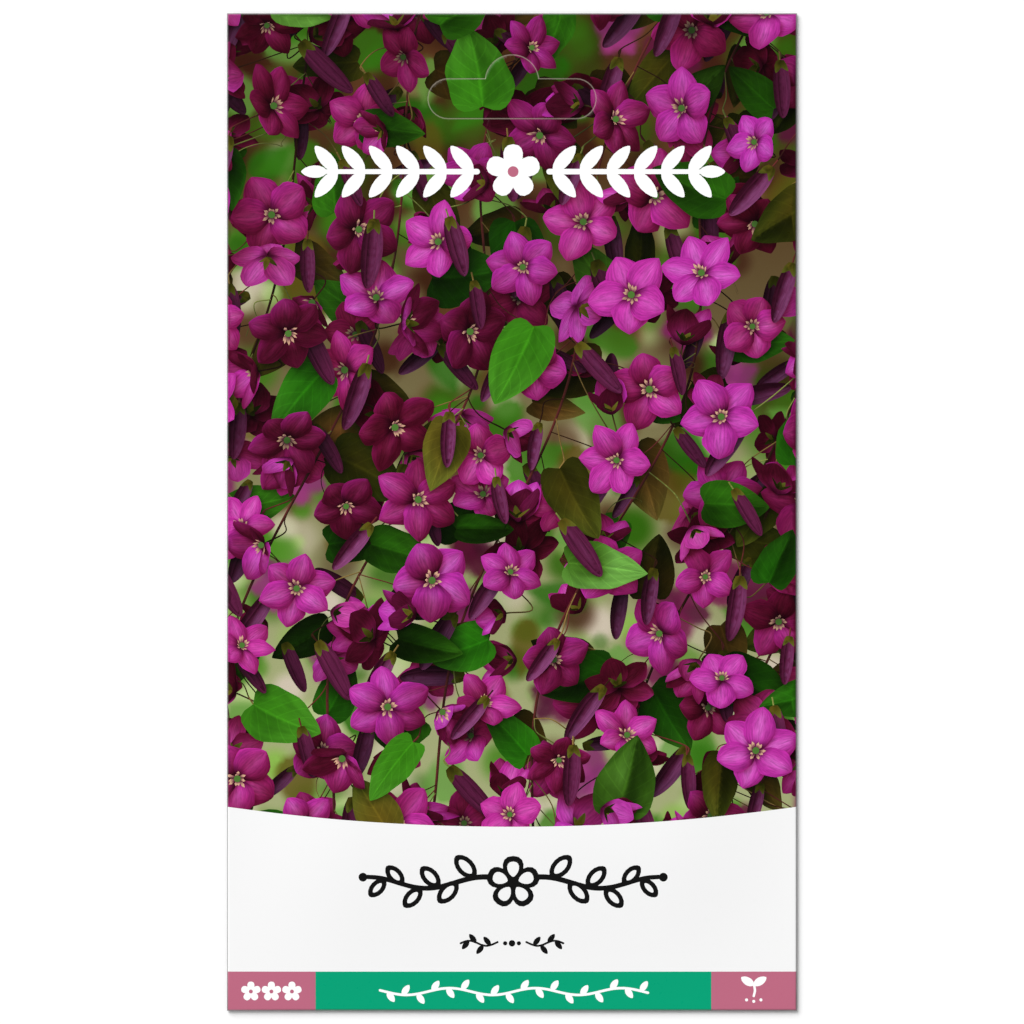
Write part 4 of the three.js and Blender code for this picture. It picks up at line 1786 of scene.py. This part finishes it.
def make_front():
    art = Drawing(FRONT_DRAWS)
    draw_garden(art)
    draw_laurel(art, *LAUREL)
    draw_label(art)
    heights = (front_height, front_form, front_inside)
    make_side("packet_front", art, LABEL_MIDDLE_Y, FRONT_PLAIN_DRAWS, [], heights, 1)


def make_back():
    art = Drawing(BACK_DRAWS)
    draw_back(art)
    loops = outer_layers(STEP_RAMP) + outer_layers()
    heights = (back_height, back_form, back_inside)
    make_side("packet_back", art, HALF_H - TOP_FLAP_LENGTH, BACK_PLAIN_DRAWS, loops, heights, -1)


# The inner bag and its seeds

BAG_LOW = 0.7
BAG_PLY = 0.2
BAG_FLAT = 1.3
BAG_RISE = 1
BAG_HALF_WIDTH = 30
BAG_BOTTOM = -60
BAG_TOP = 28
BAG_MARGIN = 4
BAG_FLAP_END = 14
BAG_FLAP_HALF_WIDTH = 24
BAG_FLAP_LOW = 1.5
BAG_STEP = 2
BAG_ROWS = 177
CRIMP_HEIGHT = 0.05
CRIMP_TURN = 2.2
CRIMP_INSET = 0.5

# Where the bag's bulge starts and where it is full: down from its top, up from its foot, and inwards
BAG_TOP_SLOPE = (16, 0)
BAG_FOOT_SLOPE = (BAG_BOTTOM + 1, -44)
BAG_SIDE_SLOPE = (BAG_HALF_WIDTH - 1, 14)

SEED_COUNT = 10
SEED_RADIUS = 1.9
SEED_WIDTH_SHARE = 0.82
SEED_HALF_THICKNESS = 0.35
SEED_Z = 1.5
SEED_GAP = 5
SEED_SECTION = ((0, 1), (0.35, 0.8), (0.58, 0.34), (1, 0.23))
SEED_RINGS = (0.02, 0.12, 0.22, 0.32, 0.42, 0.5, 0.56, 0.6, 0.7, 0.8, 0.9, 1)
SEED_SIDES = 48
SEED_WRINKLE = 0.07
SEED_EDGE_WAVE = 0.03

# The field that the seeds lie in, and the numbers that their draws come from
SEED_LEFT, SEED_FIELD_WIDTH = -17, 34
SEED_BOTTOM, SEED_FIELD_HEIGHT = -47, 35
DRAW_START = 7
DRAW_FACTOR = 16807
DRAW_SIZE = 2147483647


def bag_top(x, y):
    along = np.minimum(ease(y, *BAG_TOP_SLOPE), ease(y, *BAG_FOOT_SLOPE))
    return BAG_FLAT + BAG_RISE * ease(np.abs(x), *BAG_SIDE_SLOPE) * along


def crimp(x, y):
    """Fine ribs across the glued margins."""
    in_side = np.abs(x) > BAG_HALF_WIDTH - BAG_MARGIN + CRIMP_INSET
    in_foot = y < BAG_BOTTOM + BAG_MARGIN - CRIMP_INSET
    ribs = np.where(in_side, np.cos(y * CRIMP_TURN), np.where(in_foot, np.cos(x * CRIMP_TURN), 0))
    return CRIMP_HEIGHT * ribs


def closed(x, y, top, low, quads, rim):
    """Points and faces of a closed shape: a net at two heights, and walls between them at its rim."""
    layers = [np.stack(np.broadcast_arrays(x, y, z), -1).reshape(-1, 3) for z in (top, low)]
    quads = np.stack(quads, -1).reshape(-1, 4)
    after = np.roll(rim, -1)
    walls = np.stack([rim, rim + x.size, after + x.size, after], -1)
    return np.concatenate(layers), np.concatenate([quads, quads[:, ::-1] + x.size, walls])


def block(x, y, top, low):
    """A closed block over a grid, between two heights."""
    ids = np.arange(x.size).reshape(x.shape)
    quads = [ids[:-1, :-1], ids[:-1, 1:], ids[1:, 1:], ids[1:, :-1]]
    rim = np.concatenate([ids[0, :-1], ids[:-1, -1], ids[-1, :0:-1], ids[:0:-1, 0]])
    return closed(x, y, top, low, quads, rim)


def bag_steps(start, end):
    return np.linspace(start, end, round((end - start) / BAG_STEP) + 1)


def make_bag():
    """A pouch with a hollow, closed by a flap that narrows from its fold."""
    xs = bag_steps(-BAG_HALF_WIDTH, BAG_HALF_WIDTH)
    x, y = np.meshgrid(xs, np.linspace(BAG_BOTTOM, BAG_TOP, BAG_ROWS))
    pouch = block(x, y, bag_top(x, y) + crimp(x, y), BAG_LOW)

    half = BAG_HALF_WIDTH - BAG_MARGIN
    x, y = np.meshgrid(bag_steps(-half, half), bag_steps(BAG_BOTTOM + BAG_MARGIN, BAG_TOP - BAG_PLY))
    hollow = block(x, y, bag_top(x, y) - BAG_PLY, BAG_LOW + BAG_PLY)

    flap_top = BAG_FLAP_LOW + BAG_PLY
    lean = (BAG_HALF_WIDTH - BAG_FLAP_HALF_WIDTH) / (BAG_TOP - BAG_FLAP_END)
    x, y = np.meshgrid(xs, bag_steps(BAG_FLAP_END, BAG_TOP))
    flap = block(x * (1 - (BAG_TOP - y) * lean / BAG_HALF_WIDTH), y, flap_top, BAG_FLAP_LOW)
    fold = block(*np.meshgrid(xs, (BAG_TOP - BAG_PLY, BAG_TOP)), flap_top, BAG_LOW)

    points, faces = [], []
    for (corners, quads), order in ((pouch, 1), (hollow, -1), (flap, 1), (fold, 1)):
        faces += (quads[:, ::order] + len(points)).tolist()
        points += corners.tolist()
    finish_piece(new_piece("glassine_pouch", points, faces, glassine_material()), "glassine_bag")


def seed_places():
    """Where the seeds lie and how each is turned: the same draw as in the solids."""
    state = DRAW_START
    places = []
    while len(places) < SEED_COUNT:
        draws = []
        for _ in range(3):
            state = state * DRAW_FACTOR % DRAW_SIZE
            draws.append(state / DRAW_SIZE)
        x = SEED_LEFT + SEED_FIELD_WIDTH * draws[0]
        y = SEED_BOTTOM + SEED_FIELD_HEIGHT * draws[1]
        if all(math.hypot(x - a, y - b) > SEED_GAP for a, b, _ in places):
            places.append((x, y, draws[2] * math.pi))
    return places


def make_seed(number, place, material):
    """A flat seed: a wrinkled kernel in a thin papery wing."""
    angles = np.arange(SEED_SIDES) * TURN / SEED_SIDES
    share, angle = np.meshgrid(SEED_RINGS, angles, indexing="ij")
    half = np.interp(share, *zip(*SEED_SECTION)) * SEED_HALF_THICKNESS
    kernel = 1 - ease(share, 0.5, 0.6)
    half = half * (1 - SEED_WRINKLE * kernel * (1 + np.sin(5 * angle + 9 * share + number)) / 2)
    wave = SEED_EDGE_WAVE * share**3 * (1 + np.sin(7 * angle + number)) / 2
    reach = SEED_RADIUS * share * (1 - wave)
    flat = np.stack([reach * np.cos(angle), reach * np.sin(angle) * SEED_WIDTH_SHARE], -1)
    x, y = np.moveaxis(flat @ rotation(place[2]).T + place[:2], -1, 0)

    ids = np.arange(share.size).reshape(share.shape)
    after = np.roll(ids, -1, 1)
    quads = [ids[:-1], ids[1:], after[1:], after[:-1]]
    points, faces = closed(x, y, SEED_Z + half, SEED_Z - half, quads, ids[-1])
    faces = [*faces.tolist(), ids[0].tolist(), (ids[0, ::-1] + share.size).tolist()]

    piece = new_piece(f"winged_seed_{number:02d}", points, faces, material)
    out = np.tile(share.ravel(), 2)[np.concatenate(faces)]
    write_corners(piece.data, "grain", np.column_stack([out, out * 0, out * 0]))
    piece.data.shade_smooth()
    finish_piece(piece, f"seed_{number:02d}")


def make_seeds():
    material = seed_material()
    for number, place in enumerate(seed_places(), 1):
        make_seed(number, place, material)


# Floor, light and camera

FLOOR_HALF_SIZE = 3000
FLOOR_LIGHTNESS = 0.94

# How bright the room is, from straight below to overhead
SKY = ((0, 0.7), (0.3, 1), (0.78, 1), (0.9, 0.12))
SKY_STRENGTH = 0.63
KEY_STRENGTH = 3.38
KEY_ANGLE = math.radians(44)
KEY_TILT = math.radians(53)
KEY_TURN = math.radians(35)

VIEW_WIDTH = 0.1796
LENS = 200
SENSOR = 36


def grey(level):
    return (level, level, level, 1)


def make_floor():
    n = Nodes(bpy.data.materials.new("pale_floor"))
    n.surface(grey(FLOOR_LIGHTNESS), 0.8, 0)
    half = FLOOR_HALF_SIZE
    corners = [(x, y, 0) for x, y in rectangle(-half, half, -half, half)]
    new_piece("floor", corners, [(0, 1, 2, 3)], n.owner)


def make_lights():
    """A bright pale room with a dark patch overhead, round the camera, and a broad key light."""
    world = bpy.data.worlds.new("studio")
    bpy.context.scene.world = world
    n = Nodes(world, "Background")
    ramp = n.tree.nodes.new("ShaderNodeValToRGB")
    n.link(n.split(n.add("TexCoord")["Generated"])["Z"], ramp.inputs["Fac"])
    stops = ramp.color_ramp.elements
    stops.remove(stops[1])
    stops[0].color = grey(SKY[0][1])
    for height, level in SKY[1:]:
        stops.new(height).color = grey(level)
    n.set(Color=ramp.outputs["Color"], Strength=SKY_STRENGTH)

    key = bpy.data.lights.new("key", "SUN")
    key.energy = KEY_STRENGTH
    key.angle = KEY_ANGLE
    new_object("key", key).rotation_euler = (-KEY_TILT, 0, KEY_TURN)
    bpy.context.scene.view_settings.view_transform = "Standard"


def make_camera():
    data = bpy.data.cameras.new("camera")
    data.lens = LENS
    data.sensor_width = SENSOR
    camera = new_object("camera", data)
    camera.location = (0, 0, VIEW_WIDTH * LENS / SENSOR + FOLD_THICKNESS * MM)
    bpy.context.scene.camera = camera


make_front()
make_back()
make_bag()
make_seeds()
make_floor()
make_lights()
make_camera()
